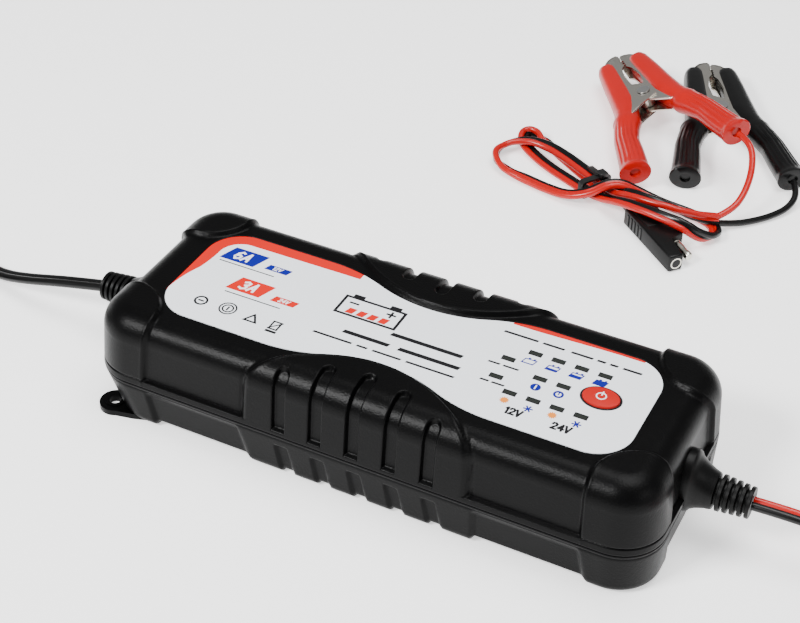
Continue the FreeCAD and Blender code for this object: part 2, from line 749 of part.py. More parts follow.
def arm_web():
    """Outer edge of the stamped arm, which joins its two flanges."""
    return [
        (-23.5, -49.2), (-15.8, -16.0), (-12.6, 0.0), (-10.4, 20.0), (-9.4, 33.0), (-6.4, 36.6), (-0.2, 37.0),
        (-0.2, 36.0), (-6.0, 35.6), (-8.4, 32.6), (-9.4, 20.0), (-11.6, 0.0), (-14.8, -16.0), (-22.5, -49.0),
    ]


def jaw_plate(flange_out, reach):
    """Folded steel arm: two flanges and a web; flange_out is the outer face of its flanges."""
    thick = 0.9
    outline = arm_flange(reach)
    top = polygon_prism(outline, flange_out - thick, flange_out)
    bottom = polygon_prism(outline, -flange_out, -flange_out + thick)
    web = polygon_prism(arm_web(), -flange_out, flange_out)
    arm = union([top, bottom, web])
    return arm.cut(rod(2.05, (0, 0, -8), (0, 0, 8)))


def boot_sections():
    """Stations along the left boot: centre x, y, half width and half thickness."""
    return [
        (-10.8, 33.0, 5.2, 5.0), (-11.8, 15.0, 5.5, 5.3), (-13.8, -4.0, 5.8, 5.5), (-16.4, -16.0, 6.6, 5.5),
        (-19.6, -32.0, 6.4, 5.5), (-24.0, -56.0, 6.75, 5.5),
    ]


def boot():
    """Soft sleeve over the outside of an arm and right round its handle."""
    stations = boot_sections()
    wires = []
    for number, (x, y, half_w, half_t) in enumerate(stations):
        before = stations[max(number - 1, 0)]
        after = stations[min(number + 1, len(stations) - 1)]
        along = V(after[0] - before[0], after[1] - before[1], 0)
        along.normalize()
        across = V(-along.y, along.x, 0)
        centre = V(x, y, 0)
        ring = Part.Ellipse(centre + across * half_w, centre + UP * half_t, centre)
        wires.append(Part.Wire([ring.toShape()]))
    return Part.makeLoft(wires, True, True)


def boot_for(flange_out, reach):
    """Boot with the space for its own arm taken out, and its jaw side left open."""
    body = boot()
    inner = [(4.0, 40.0), (-9.4, 40.0), (-9.4, 33.0), (-10.4, 20.0), (-12.6, 0.0), (-13.6, -9.0), (4.0, -9.0)]
    body = body.cut(polygon_prism(inner, -10, 10))
    body = body.cut(jaw_plate(flange_out, reach))
    solids = sorted(body.Solids, key=lambda s: s.Volume)
    return solids[-1]


def wire_end(shape):
    """Takes out the hole where the lead enters the end of a handle."""
    return shape.cut(rod(1.7, (-22.5, -48, 0), (-24.6, -60, 0)))


def mirrored(shape):
    return shape.mirror(V(0, 0, 0), V(1, 0, 0))


def jaw_rivet():
    shank = rod(2.0, (0, 0, -5.2), (0, 0, 5.2))
    heads = [rod(3.0, (0, 0, s * 4.95), (0, 0, s * 5.45)) for s in (-1, 1)]
    return union([shank] + heads)


def torsion_spring():
    """Coil on the rivet with two legs that press the handles apart."""
    ring = rod(4.3, (0, 0, -2.4), (0, 0, 2.4)).cut(rod(2.3, (0, 0, -3), (0, 0, 3)))
    legs = []
    for side in (-1, 1):
        legs.append(rod(0.6, (side * 3.6, -1.0, side * 1.6), (side * 8.3, -6.9, side * 1.6)))
    return union([ring] + legs)


OUTER_FLANGE = 4.9
INNER_FLANGE = 3.9


def clamp_pieces():
    """One clamp in its own frame: the left arm moves, the right arm carries the lead."""
    return {
        "moving_jaw": jaw_plate(OUTER_FLANGE, 5.0),
        "moving_boot": boot_for(OUTER_FLANGE, 5.0),
        "fixed_jaw": mirrored(jaw_plate(INNER_FLANGE, 5.0)),
        "fixed_boot": mirrored(wire_end(boot_for(INNER_FLANGE, 5.0))),
        "rivet": jaw_rivet(),
        "spring": torsion_spring(),
    }


def lead_tie():
    """Wire tie pulled round the bundle of passes."""
    outer = box(-2.0, 2.0, -8.0, 8.0, 0.0, 8.8)
    inner = box(-3.0, 3.0, -7.0, 7.0, -1.0, 7.8)
    band = outer.cut(inner)
    x, y, _ = on_floor(-21.0, -15.0, 0)
    return placed(band, [((0, 0, 1), LEAD_TURN - 58.0)], (x, y, 0))


def on_lead(shape, turns, pivot):
    return placed(shape, turns, on_floor(*pivot))


def lead_connector(shape):
    turns = [((0, 0, 1), LEAD_TURN + LEAD_CONNECTOR_TURN)]
    return placed(shape, turns, on_floor(*LEAD_CONNECTOR_REAR, 4.0))


def plan_tube(plan, radius, name):
    return cord_tube([on_floor(*p) for p in plan], radius, name)


# ---- the whole set ----
def nodes():
    made = {
        "lower_housing": lower_housing().cut(label_pocket()),
        "upper_housing": upper_housing(),
        "housing_seal": seal_ring(0),
        "housing_screws": housing_screws(),
        "rating_label": rating_label(),
        "label_overlay": label_overlay(),
        "mode_button": mode_button(),
        "led_windows": led_windows(),
        "status_leds": status_leds(),
        "tact_switch": tact_switch(),
        "display_pcb": display_pcb(),
        "display_ribbon": display_ribbon(),
        "main_pcb": main_pcb(),
        "pcb_screws": pcb_screws(),
        "transformer_core": transformer_core(),
        "transformer_winding": transformer_winding(),
        "bulk_capacitor": bulk_capacitor(),
        "output_capacitors": output_capacitors(),
        "primary_heat_sink": heat_sink(40, -1, -30, -28),
        "output_heat_sink": heat_sink(40, 1, 24, 28),
        "switching_transistor": power_package(1, -24, -27),
        "output_rectifier": power_package(-1, 20, 27),
        "bridge_rectifier": bridge_rectifier(),
        "line_choke": toroid(7.0, 3.6, -68, -19.5),
        "output_choke": toroid(7.0, 3.6, 66, 18),
        "x_capacitor": x_capacitor(),
        "line_fuse": fuse_link(),
        "output_relay": output_relay(),
        "controller_chip": controller_chip(),
        "internal_wires": internal_wires(),
        "mains_strain_relief": strain_relief(-1, 130.0),
        "dc_strain_relief": strain_relief(1, 131.0),
        "mains_cord": cord_tube(MAINS_ROUTE, FLAT_CORD_R, "mains cord"),
        "mains_cord_coil": coil_solid(MAINS_COIL, MAINS_COIL_R, 6.0, 4, 3.4),
        "mains_cord_tie": coil_tie(MAINS_COIL, MAINS_COIL_R, 6.0, 13.6, 200),
        "mains_plug": on_mains_coil(mains_plug()),
        "mains_plug_blades": on_mains_coil(plug_blades()),
        "dc_lead": cord_tube(DC_ROUTE, TWIN_R, "dc lead"),
        "dc_lead_coil": coil_solid(DC_COIL, DC_COIL_R, 6.0, 3, 3.2),
        "dc_lead_tie": coil_tie(DC_COIL, DC_COIL_R, 6.0, 9.6, -50),
        "dc_connector": on_dc_coil(quick_connector()),
        "dc_connector_contacts": on_dc_coil(connector_contacts()),
        "clamp_lead_connector": lead_connector(quick_connector()),
        "clamp_lead_connector_contacts": lead_connector(connector_contacts()),
        "clamp_lead": plan_tube(TWIN_PLAN, TWIN_R, "clamp lead"),
        "clamp_lead_red_core": plan_tube(RED_CORE_PLAN, CORE_R, "red core"),
        "clamp_lead_black_core": plan_tube(BLACK_CORE_PLAN, CORE_R, "black core"),
        "clamp_lead_tie": lead_tie(),
    }
    clamp = clamp_pieces()
    for colour, turns, pivot in (
        ("red", red_turns(), RED_PIVOT),
        ("black", black_turns(), BLACK_PIVOT),
    ):
        for name, shape in clamp.items():
            if name == "rivet":
                continue
            made[f"{colour}_clamp_{name}"] = on_lead(shape, turns, pivot)
    made["clamp_rivets"] = Part.makeCompound([
        on_lead(clamp["rivet"], red_turns(), RED_PIVOT),
        on_lead(clamp["rivet"], black_turns(), BLACK_PIVOT),
    ])
    return made


def main():
    os.makedirs("parts", exist_ok=True)
    for name, shape in nodes().items():
        solids = shape.Solids
        if not shape.isValid():
            print("INVALID", name)
        kept = solids[0] if len(solids) == 1 else Part.makeCompound(solids)
        kept.exportStep(f"parts/{name}.step")
        print(name, len(solids), round(kept.Volume / 1000, 2), "cm3")


main()
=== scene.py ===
"""Look of the car battery charger: housing, label, cords, clamps, lights and camera, in the shared frame.

Shapes are worked out in millimetres and scaled once, when a mesh is made.
"""
import bpy
import bmesh
import json
import math
from mathutils import Matrix, Vector

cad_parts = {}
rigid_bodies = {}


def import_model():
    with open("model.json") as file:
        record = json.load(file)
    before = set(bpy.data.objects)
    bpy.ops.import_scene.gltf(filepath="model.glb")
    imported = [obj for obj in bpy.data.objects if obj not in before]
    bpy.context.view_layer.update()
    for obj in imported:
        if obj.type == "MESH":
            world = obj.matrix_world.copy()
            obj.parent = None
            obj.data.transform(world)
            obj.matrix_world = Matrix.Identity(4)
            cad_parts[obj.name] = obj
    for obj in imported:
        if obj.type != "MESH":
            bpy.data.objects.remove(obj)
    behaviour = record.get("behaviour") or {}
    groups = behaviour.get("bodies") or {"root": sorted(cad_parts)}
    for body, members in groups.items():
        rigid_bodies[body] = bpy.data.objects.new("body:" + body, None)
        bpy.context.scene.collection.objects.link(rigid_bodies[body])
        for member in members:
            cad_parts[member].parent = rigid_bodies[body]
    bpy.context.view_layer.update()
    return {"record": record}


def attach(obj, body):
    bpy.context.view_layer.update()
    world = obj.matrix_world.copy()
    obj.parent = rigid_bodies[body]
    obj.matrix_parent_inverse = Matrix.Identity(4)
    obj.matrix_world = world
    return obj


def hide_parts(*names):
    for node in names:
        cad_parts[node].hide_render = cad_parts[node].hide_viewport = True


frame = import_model()
MM = 0.001


# ---- small helpers ----
def smooth(t):
    t = min(max(t, 0.0), 1.0)
    return t * t * (3 - 2 * t)


def hump(t):
    return math.exp(-t * t)


def rounded(a, b, radius):
    """Distance inside a corner whose point is rounded; a and b are measured from its two sides."""
    if a < radius and b < radius:
        return radius - math.hypot(radius - a, radius - b)
    return min(a, b)


def circle(x, y, radius, count=24):
    turn = 2 * math.pi / count
    return [(x + radius * math.cos(n * turn), y + radius * math.sin(n * turn)) for n in range(count)]


def ellipse(x, y, a, b, count=48):
    return [(x + a * px, y + b * py) for px, py in circle(0, 0, 1, count)]


def rectangle(x, y, half_x, half_y):
    return [(x + sx * half_x, y + sy * half_y) for sx, sy in ((-1, -1), (1, -1), (1, 1), (-1, 1))]


# ---- materials ----
def add_node(mat, kind, **values):
    made = mat.node_tree.nodes.new("ShaderNode" + kind)
    for name, value in values.items():
        made.inputs[name.replace("_", " ")].default_value = value
    return made


def surface(name, colour, rough, grain, depth, metal=0.0, patch=0.06, spec=0.5):
    """Procedural finish: slight patches in colour and roughness, and fine grain as bump, depth mm deep."""
    mat = bpy.data.materials.new(name)
    mat.use_nodes = True
    link = mat.node_tree.links.new
    shader = mat.node_tree.nodes["Principled BSDF"]
    shader.inputs["Metallic"].default_value = metal
    shader.inputs["Specular IOR Level"].default_value = spec
    place = add_node(mat, "TexCoord")
    broad = add_node(mat, "TexNoise", Scale=60.0, Detail=4.0)
    link(place.outputs["Object"], broad.inputs["Vector"])
    tone = add_node(mat, "Mix")
    tone.data_type = "RGBA"
    tone.inputs[6].default_value = (*[c * (1 - patch) for c in colour], 1)
    tone.inputs[7].default_value = (*[min(1.0, c * (1 + patch)) for c in colour], 1)
    link(broad.outputs["Fac"], tone.inputs[0])
    link(tone.outputs[2], shader.inputs["Base Color"])
    gloss = add_node(mat, "MapRange", To_Min=max(0.02, rough - 0.05), To_Max=min(1.0, rough + 0.05))
    link(broad.outputs["Fac"], gloss.inputs["Value"])
    link(gloss.outputs["Result"], shader.inputs["Roughness"])
    fine = add_node(mat, "TexNoise", Scale=grain, Detail=3.0)
    link(place.outputs["Object"], fine.inputs["Vector"])
    bump = add_node(mat, "Bump", Strength=0.6, Distance=depth * MM)
    link(fine.outputs["Fac"], bump.inputs["Height"])
    link(bump.outputs["Normal"], shader.inputs["Normal"])
    mat.diffuse_color = (*colour, 1)
    return mat


BLACK = (0.0012, 0.0012, 0.0013)
CORD_BLACK = (0.0025, 0.0025, 0.0026)
FINISHES = {}
for slot_name, colour, rough, grain, depth, more in (
    ("housing_plastic", BLACK, 0.33, 1700, 0.16, dict(spec=0.085)),
    ("seal_rubber", (0.004, 0.004, 0.004), 0.7, 900, 0.03, {}),
    ("relief_rubber", (0.002, 0.002, 0.002), 0.4, 1300, 0.06, dict(spec=0.14)),
    ("label_film", (0.90, 0.93, 0.97), 0.34, 500, 0.01, dict(patch=0.01)),
    ("rating_film", (0.60, 0.61, 0.63), 0.45, 500, 0.01, dict(patch=0.02)),
    ("key_rubber", (0.44, 0.003, 0.001), 0.36, 900, 0.015, dict(spec=0.35)),
    ("window_plastic", (0.014, 0.017, 0.014), 0.3, 600, 0.01, dict(spec=0.35)),
    ("led_package", (0.75, 0.74, 0.65), 0.4, 900, 0.01, {}),
    ("switch_plastic", (0.03, 0.03, 0.03), 0.5, 900, 0.01, {}),
    ("board", (0.02, 0.14, 0.05), 0.4, 700, 0.01, {}),
    ("ribbon", (0.45, 0.45, 0.46), 0.5, 700, 0.02, {}),
    ("screw_steel", (0.5, 0.5, 0.5), 0.35, 1200, 0.01, dict(metal=1.0)),
    ("ferrite", (0.035, 0.035, 0.04), 0.6, 1100, 0.03, {}),
    ("winding_tape", (0.75, 0.55, 0.08), 0.4, 800, 0.02, {}),
    ("capacitor_can", (0.03, 0.05, 0.14), 0.35, 700, 0.01, {}),
    ("heat_sink_aluminium", (0.6, 0.6, 0.61), 0.4, 1500, 0.02, dict(metal=1.0)),
    ("semiconductor", (0.02, 0.02, 0.02), 0.5, 1200, 0.01, {}),
    ("choke_copper", (0.6, 0.22, 0.08), 0.35, 900, 0.05, dict(metal=1.0)),
    ("film_capacitor", (0.65, 0.5, 0.05), 0.45, 800, 0.01, {}),
    ("fuse_glass", (0.6, 0.63, 0.62), 0.15, 500, 0.005, {}),
    ("relay_plastic", (0.04, 0.1, 0.3), 0.4, 800, 0.01, {}),
    ("wire_insulation", (0.03, 0.03, 0.03), 0.4, 900, 0.01, {}),
    ("cord_black", CORD_BLACK, 0.3, 900, 0.03, dict(spec=0.25)),
    ("twin_lead", CORD_BLACK, 0.26, 700, 0.03, dict(spec=0.3)),
    ("red_core", (0.42, 0.0025, 0.001), 0.26, 700, 0.03, dict(spec=0.4)),
    ("black_core", CORD_BLACK, 0.26, 700, 0.03, dict(spec=0.3)),
    ("connector_black", CORD_BLACK, 0.34, 1200, 0.03, dict(spec=0.2)),
    ("contact_metal", (0.66, 0.63, 0.56), 0.24, 1500, 0.02, dict(metal=1.0)),
    ("tie_plastic", (0.004, 0.004, 0.004), 0.36, 900, 0.01, {}),
    ("clamp_steel", (0.64, 0.615, 0.56), 0.26, 1300, 0.03, dict(metal=1.0)),
    ("boot_red", (0.42, 0.002, 0.001), 0.3, 800, 0.04, dict(spec=0.36)),
    ("boot_black", (0.002, 0.002, 0.0021), 0.3, 800, 0.04, dict(spec=0.26)),
    ("spring_steel", (0.55, 0.52, 0.46), 0.28, 1300, 0.02, dict(metal=1.0)),
):
    FINISHES[slot_name] = surface(slot_name, colour, rough, grain, depth, **more)
INK = {}
for ink_name, colour, patch, spec in (
    ("red", (0.60, 0.006, 0.001), 0.03, 0.3),
    ("blue", (0.001, 0.004, 0.22), 0.03, 0.3),
    ("black", (0.004, 0.004, 0.005), 0.03, 0.3),
    ("white", (0.92, 0.93, 0.95), 0.01, 0.5),
    ("orange", (0.80, 0.24, 0.02), 0.03, 0.5),
):
    INK[ink_name] = surface("ink_" + ink_name, colour, 0.36, 500, 0.01, patch=patch, spec=spec)


# ---- mesh helpers ----
def finish(name, bm, slot, body="charger", replaced=(), sharp=38.0, extra=()):
    """Turns a bmesh in millimetres into a piece that rides on a body."""
    bmesh.ops.recalc_face_normals(bm, faces=bm.faces)
    mesh = bpy.data.meshes.new(name)
    bm.to_mesh(mesh)
    bm.free()
    mesh.transform(Matrix.Scale(MM, 4))
    mesh.shade_smooth()
    mesh.set_sharp_from_angle(angle=math.radians(sharp))
    obj = bpy.data.objects.new(name, mesh)
    bpy.context.scene.collection.objects.link(obj)
    for material in (FINISHES.get(slot) or INK[slot], *extra):
        mesh.materials.append(material)
    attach(obj, body)
    if replaced:
        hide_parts(*replaced)
    return obj


def quads(bm, low, high):
    """Quads between two closed loops of vertices."""
    for n in range(len(low)):
        m = (n + 1) % len(low)
        bm.faces.new((low[n], low[m], high[m], high[n]))


def skin(bm, rings, cap=True):
    """Quads between rings of equal length; cap closes the first and last. Returns the vertices."""
    rows = [[bm.verts.new(p) for p in ring] for ring in rings]
    for low, high in zip(rows, rows[1:]):
        quads(bm, low, high)
    if cap:
        bm.faces.new(rows[0])
        bm.faces.new(rows[-1])
    return rows


def plate(bm, outer, holes, low, high):
    """Flat sheet with holes: both faces and every wall."""
    faces = []
    for level in (low, high):
        loops = [[bm.verts.new((x, y, level)) for x, y in loop] for loop in [outer] + holes]
        edges = [bm.edges.new(pair) for loop in loops for pair in zip(loop, loop[1:] + loop[:1])]
        bmesh.ops.triangle_fill(bm, use_beauty=True, use_dissolve=False, edges=edges, normal=(0, 0, 1))
        faces.append(loops)
    for below, above in zip(*faces):
        quads(bm, below, above)


def join(bm, part):
    """Adds another bmesh and frees it."""
    copy = bpy.data.meshes.new("part")
    part.to_mesh(copy)
    part.free()
    bm.from_mesh(copy)
    bpy.data.meshes.remove(copy)


def moved(bm, matrix):
    bmesh.ops.transform(bm, matrix=matrix, verts=bm.verts)
    return bm


def turn(axis, degrees):
    return Matrix.Rotation(math.radians(degrees), 4, axis)


def shift(x, y, z):
    return Matrix.Translation((x, y, z))


def block(bm, low, high, bevel=0.0, matrix=None):
    """Box with softened edges."""
    made = bmesh.ops.create_cube(bm, size=1.0)["verts"]
    size = [h - l for l, h in zip(low, high)]
    centre = [(h + l) / 2 for l, h in zip(low, high)]
    bmesh.ops.scale(bm, vec=size, verts=made)
    bmesh.ops.translate(bm, vec=centre, verts=made)
    if bevel:
        edges = {e for v in made for e in v.link_edges}
        cut = bmesh.ops.bevel(bm, geom=list(edges), offset=bevel, segments=3, profile=0.5, affect="EDGES")
        made = cut["verts"]
    if matrix:
        bmesh.ops.transform(bm, matrix=matrix, verts=made)


def prism(bm, shape, low, high, bevel):
    """Extruded shape with softened top and bottom rims."""
    bottom = [bm.verts.new((x, y, low)) for x, y in shape]
    top = [bm.verts.new((x, y, high)) for x, y in shape]
    rims = [bm.faces.new(bottom), bm.faces.new(top)]
    quads(bm, bottom, top)
    edges = [e for f in rims for e in f.edges]
    bmesh.ops.bevel(bm, geom=edges, offset=bevel, segments=3, profile=0.5, affect="EDGES")


def turned(bm, profile, count):
    """Solid of rings along X from (x, radius) pairs."""
    skin(bm, [[(x, radius * px, radius * py) for px, py in circle(0, 0, 1, count)] for x, radius in profile])


# ---- housing: one grid of columns round the outline ----
HALF_L, HALF_W, CORNER = 110.0, 43.5, 17.0
SEAM = 18.6
STEP = 1.8                      # how far bumpers and grips stand above the panels
PITCH, SLOT = 14.5, 2.5         # spacing and half width of the grips' slots
STILL = 46.0                    # a long side's columns nearer the middle than this keep their x
SIDE, END = HALF_L - CORNER, HALF_W - CORNER    # half lengths of the straight stretches
SHOULDER, TOP = 35.5, 44.0      # where the wall starts to curve in, and where it ends
LID = 41.4                      # underside of the top
RECESS, PRINT = 43.6, 43.9      # under and upper face of the label


def graded(end, coarse, features):
    """Places from 0 to end, close together near each (place, spacing) of interest."""
    places = [0.0]
    while places[-1] < end:
        here = places[-1]
        size = coarse
        for at, fine in features:
            size = min(size, max(fine, 0.25 * abs(here - at)))
        places.append(here + size)
    return [p for p in places if p < end - 0.2] + [end]


def columns():
    edges = [(abs(k * PITCH + s * SLOT), 0.22) for k in range(3) for s in (-1, 1)]
    edges += [(47.0, 0.4), (84.0, 0.4)]
    side = graded(SIDE, 1.0, edges)
    end = graded(END, 1.2, [(20.0, 0.45)])
    quarter = [("end", v) for v in end[:-1]]
    quarter += [("arc", math.radians(90 * n / 26)) for n in range(26)]
    quarter += [("side", v) for v in reversed(side)]
    whole = []
    for sx, sy, forward in ((1, 1, True), (-1, 1, False), (-1, -1, True), (1, -1, False)):
        part = quarter[:-1] if forward else list(reversed(quarter))[:-1]
        whole += [(kind, value, sx, sy) for kind, value in part]
    return whole


COLUMNS = columns()


def spread(value, end):
    """Place of a long side's column when that side's straight stretch ends at end."""
    return value if value < STILL else STILL + (value - STILL) * (end - STILL) / (SIDE - STILL)


def outline(column, half_l, half_w, radius):
    """Point and outward direction on a rounded rectangle, matched across sizes."""
    kind, value, sx, sy = column
    if kind == "side":
        x = spread(value, half_l - radius)
        y, nx, ny = half_w, 0.0, 1.0
    elif kind == "arc":
        nx, ny = math.cos(value), math.sin(value)
        x = half_l - radius + radius * nx
        y = half_w - radius + radius * ny
    else:
        x, nx, ny = half_l, 1.0, 0.0
        y = value * (half_w - radius) / END
    return sx * x, sy * y, sx * nx, sy * ny


LABEL_L, LABEL_W, LABEL_CORNER = 90.7, 27.0, 14.0
LABEL_X, LABEL_Y = LABEL_L - LABEL_CORNER, LABEL_W - LABEL_CORNER
WAIST, NECK = 18.0, 22.0        # the label's least half width, and the length of each bend of its waist
BEND = (NECK ** 2 + ((LABEL_W - WAIST) / 2) ** 2) / (LABEL_W - WAIST)


def label_edge(x):
    """Half width of the label at x, with its waist between the grips."""
    x = abs(x)
    if x < NECK:
        return WAIST + BEND - math.sqrt(BEND ** 2 - x ** 2)
    if x < 2 * NECK:
        return LABEL_W - (BEND - math.sqrt(BEND ** 2 - (2 * NECK - x) ** 2))
    return LABEL_W


def label_point(column, grow=0.0):
    """Point on the label's outline, moved outward by grow."""
    kind, value, sx, sy = column
    if kind == "side":
        x = spread(value, LABEL_X)
        y = label_edge(x) + grow
    elif kind == "arc":
        x = LABEL_X + (LABEL_CORNER + grow) * math.cos(value)
        y = LABEL_Y + (LABEL_CORNER + grow) * math.sin(value)
    else:
        x = LABEL_L + grow
        y = value * LABEL_Y / END
    return sx * x, sy * y


def bumper_depth(x, y, z):
    """How far inside a corner bumper of the upper half a point is."""
    reach = smooth((abs(x) - 103) / 6)
    along = abs(x) - (84.3 - 0.05 * (z - 20))
    across = abs(y) - (17 + 4 * reach)
    return rounded(along, across, 18.0 if z > 36 else 6.0 + 12.0 * smooth((z - 30) / 6))


def grip_depth(x, y):
    """How far inside a side grip of the upper half a point is."""
    along = 47.4 - abs(x)
    across = (abs(y) - (18.2 + 0.0112 * x * x)) / math.sqrt(1 + (0.0224 * x) ** 2)
    return rounded(along, across, 6.0)


def slot_depth(x, y, z):
    """How far inside a grip's slot a point is; each slot's top end is round."""
    k = max(-2, min(2, round(x / PITCH)))
    across = SLOT - abs(x - k * PITCH)
    tip = (26.4, 28.9, 35.4)[abs(k)]
    along = abs(y) - tip
    return min(rounded(across, along, SLOT), z - 20.6)


def upper_lift(x, y, z, up):
    """How far the upper half's surface stands above its panels."""
    bumper = bumper_depth(x, y, z)
    grip = grip_depth(x, y)
    rim = smooth((21.5 - z) / 0.7)
    lift = STEP * max(rim, smooth(bumper / 2.0), smooth(grip / 1.8))
    lift -= 1.9 * smooth((slot_depth(x, y, z) + 0.35) / 1.0)
    crest = max(hump((grip - 1.5) / 0.7) * smooth((up - 0.5) / 0.4), 0.6 * hump((bumper - 1.7) / 0.6))
    lift += 0.22 * crest
    lift -= 0.35 * hump((grip + 0.5) / 0.7) * (1 - rim) * smooth((0.9 - up) / 0.3)
    lift -= 0.4 * hump((z - 21.7) / 0.28) * smooth(bumper / 2.0) * (1 - up)
    return lift


def wall_inset(z):
    return STEP + 2.2 * (z - SEAM) / 27.2


def upper_column(column):
    """Points up one column: lower lip, wall, shoulder, top, label recess."""
    points = []

    def wall(inset):
        return outline(column, HALF_L - inset, HALF_W - inset, CORNER - inset)

    for inset, z in ((4.2, 18.75), (0.3, 18.75), (0.08, 18.82)):
        x, y, _, _ = wall(inset)
        points.append((x, y, z))
    levels = [19.0, 19.4, 19.9, 20.25, 20.45, 20.6, 20.75, 20.9]
    levels += [21.1, 21.3, 21.5, 21.7, 21.9, 22.1, 22.4, 22.9]
    levels += [23.6 + 0.85 * n for n in range(14)]
    for z in levels:
        x, y, nx, ny = wall(wall_inset(z))
        lift = upper_lift(x, y, z, 0.0)
        points.append((x + nx * lift, y + ny * lift, z))
    spring, radius, steps = wall_inset(SHOULDER), TOP - SHOULDER, 34
    for n in range(steps + 1):
        angle = math.radians(90 * n / steps)
        x, y, nx, ny = wall(spring + 0.1 * n / steps + radius * (1 - math.cos(angle)))
        z = SHOULDER + radius * math.sin(angle)
        lift = upper_lift(x, y, z, math.sin(angle))
        flat = math.cos(angle) * lift
        points.append((x + nx * flat, y + ny * flat, z + math.sin(angle) * lift))
    x0, y0, _, _ = wall(spring + radius + 0.1)
    x1, y1 = label_point(column, 0.5)
    for n in range(1, 31):
        t = n / 30
        x, y = x0 + (x1 - x0) * t, y0 + (y1 - y0) * t
        points.append((x, y, TOP + upper_lift(x, y, TOP, 1.0)))
    for grow, z in ((0.3, 43.85), (0.2, RECESS)):
        points.append((*label_point(column, grow), z))
    return points


def fill(bm, loop, holes, z):
    """Closes a loop of vertices with a flat face that has holes; returns the holes' vertices."""
    edges = []
    rings = [loop]
    for hole in holes:
        rings.append([bm.verts.new((x, y, z)) for x, y in hole])
    for ring in rings:
        for pair in zip(ring, ring[1:] + ring[:1]):
            edges.append(bm.edges.get(pair) or bm.edges.new(pair))
    bmesh.ops.triangle_fill(bm, use_beauty=True, use_dissolve=False, edges=edges, normal=(0, 0, 1))
    return rings[1:]


WINDOWS = [(37.0, 5.6), (37.0, -5.2)]
for first, row, count in ((44.4, 12.6, 4), (51.1, 0.6, 2), (44.7, -11.1, 4)):
    WINDOWS += [(first + 8.75 * n, row) for n in range(count)]
KEY = (73.6, 0.8)


def openings():
    """Holes over the indicators and round the key."""
    return [rectangle(x, y, 2.05, 0.9) for x, y in WINDOWS] + [ellipse(*KEY, 6.85, 5.25)]


def shell(bm, column_points, rings):
    """Outer skin from each column's points, and a lining from its first row through the given rings."""
    made = [column_points(c) for c in COLUMNS]
    rows = skin(bm, list(zip(*made)), cap=False)
    inside = [rows[0]] + [[bm.verts.new(p) for p in ring] for ring in rings]
    for low, high in zip(inside, inside[1:]):
        quads(bm, low, high)
    return rows[-1], inside[-1]


def upper_housing():
    bm = bmesh.new()
    rings = []
    for inset, z in ((5.4, 34.0), (8.0, 39.6), (13.4, LID)):
        sizes = (HALF_L - inset, HALF_W - inset, CORNER - inset)
        rings.append([(*outline(column, *sizes)[:2], z) for column in COLUMNS])
    rings.append([(*label_point(column), LID) for column in COLUMNS])
    rim, lining = shell(bm, upper_column, rings)
    upper = fill(bm, rim, openings(), RECESS)
    lower = fill(bm, lining, openings(), LID)
    for above, below in zip(upper, lower):
        quads(bm, above, below)
    finish("housing_top", bm, "housing_plastic", replaced=["upper_housing"], sharp=50)


FOOT = 3.4                      # radius of the lower half's bottom edge


def lower_lift(x, y, z, down):
    """Inward step of the lower half's panels, and the grips' channels; negative is inward."""
    lean = 1 - z / SEAM
    bumper_x = abs(x - 3.6 * lean) - 84
    bumper = rounded(bumper_x, abs(y) - 21 + 2 * lean + 4 * smooth((100 - abs(x)) / 6), 3.0)
    grip = 47.2 - 2.6 * lean - abs(x - 2.6 * lean) if abs(y) > 20 else -9.0
    keep = max(smooth((bumper + 0.6) / 2.2), smooth((grip + 0.6) / 2.2))
    near_seam = smooth((z - 14.2) / 3.6)
    lift = -(1.2 * (1 - near_seam) + 1.7 * down) * (1 - keep)
    k = max(-2, min(2, round((x - 3.6 * lean) / PITCH)))
    channel = 2.4 - abs(x - 3.6 * lean - k * PITCH)
    if abs(y) > 20:
        lift -= 1.15 * smooth((channel + 0.5) / 0.9) * smooth((14.2 - z) / 1.2)
    lift -= 0.25 * hump((z - 17.2) / 0.3)
    return lift


def base_size(column, z, inset):
    """Half length, half width and corner of the lower half at z; the mains end leans in more."""
    u = z / SEAM
    foot = 109.4 if column[2] > 0 else 102.2
    return foot + (HALF_L - foot) * u - inset, 42.3 + 1.2 * u - inset, 16 + u - inset


def lower_column(column):
    """Points down one column: upper lip, wall, rounded foot, underside."""
    points = []

    def at(z, inset):
        return outline(column, *base_size(column, z, inset))

    for inset, z in ((2.4, 18.45), (0.3, 18.45), (0.08, 18.38)):
        x, y, _, _ = at(z, inset)
        points.append((x, y, z))
    levels = [18.2, 17.8, 17.5, 17.3, 17.1, 16.8, 16.3]
    levels += [15.6, 14.9, 14.4, 14.0, 13.6, 13.1, 12.4]
    levels += [11.6 - 0.85 * n for n in range(10)]
    for z in levels:
        x, y, nx, ny = at(z, 0)
        lift = lower_lift(x, y, z, 0.0)
        points.append((x + nx * lift, y + ny * lift, z))
    for n in range(9):
        angle = math.radians(90 * n / 8)
        inset = FOOT * (1 - math.cos(angle))
        z = FOOT * (1 - math.sin(angle))
        x, y, nx, ny = at(FOOT * (1 - n / 8), inset)
        lift = lower_lift(x, y, z, math.sin(angle))
        flat = lift * math.cos(angle)
        points.append((x + nx * flat, y + ny * flat, z - lift * math.sin(angle)))
    for inset in (4.3, 5.2, 6.1, 7.0, 8.0, 9.5, 11.0):
        x, y, nx, ny = at(0, inset)
        lift = lower_lift(x, y, 0.0, 1.0) * (1 - smooth((inset - FOOT) / 5.0))
        rise = 0.3 * smooth((inset - 6.0) / 3.0)
        points.append((x, y, max(rise, -lift)))
    return points


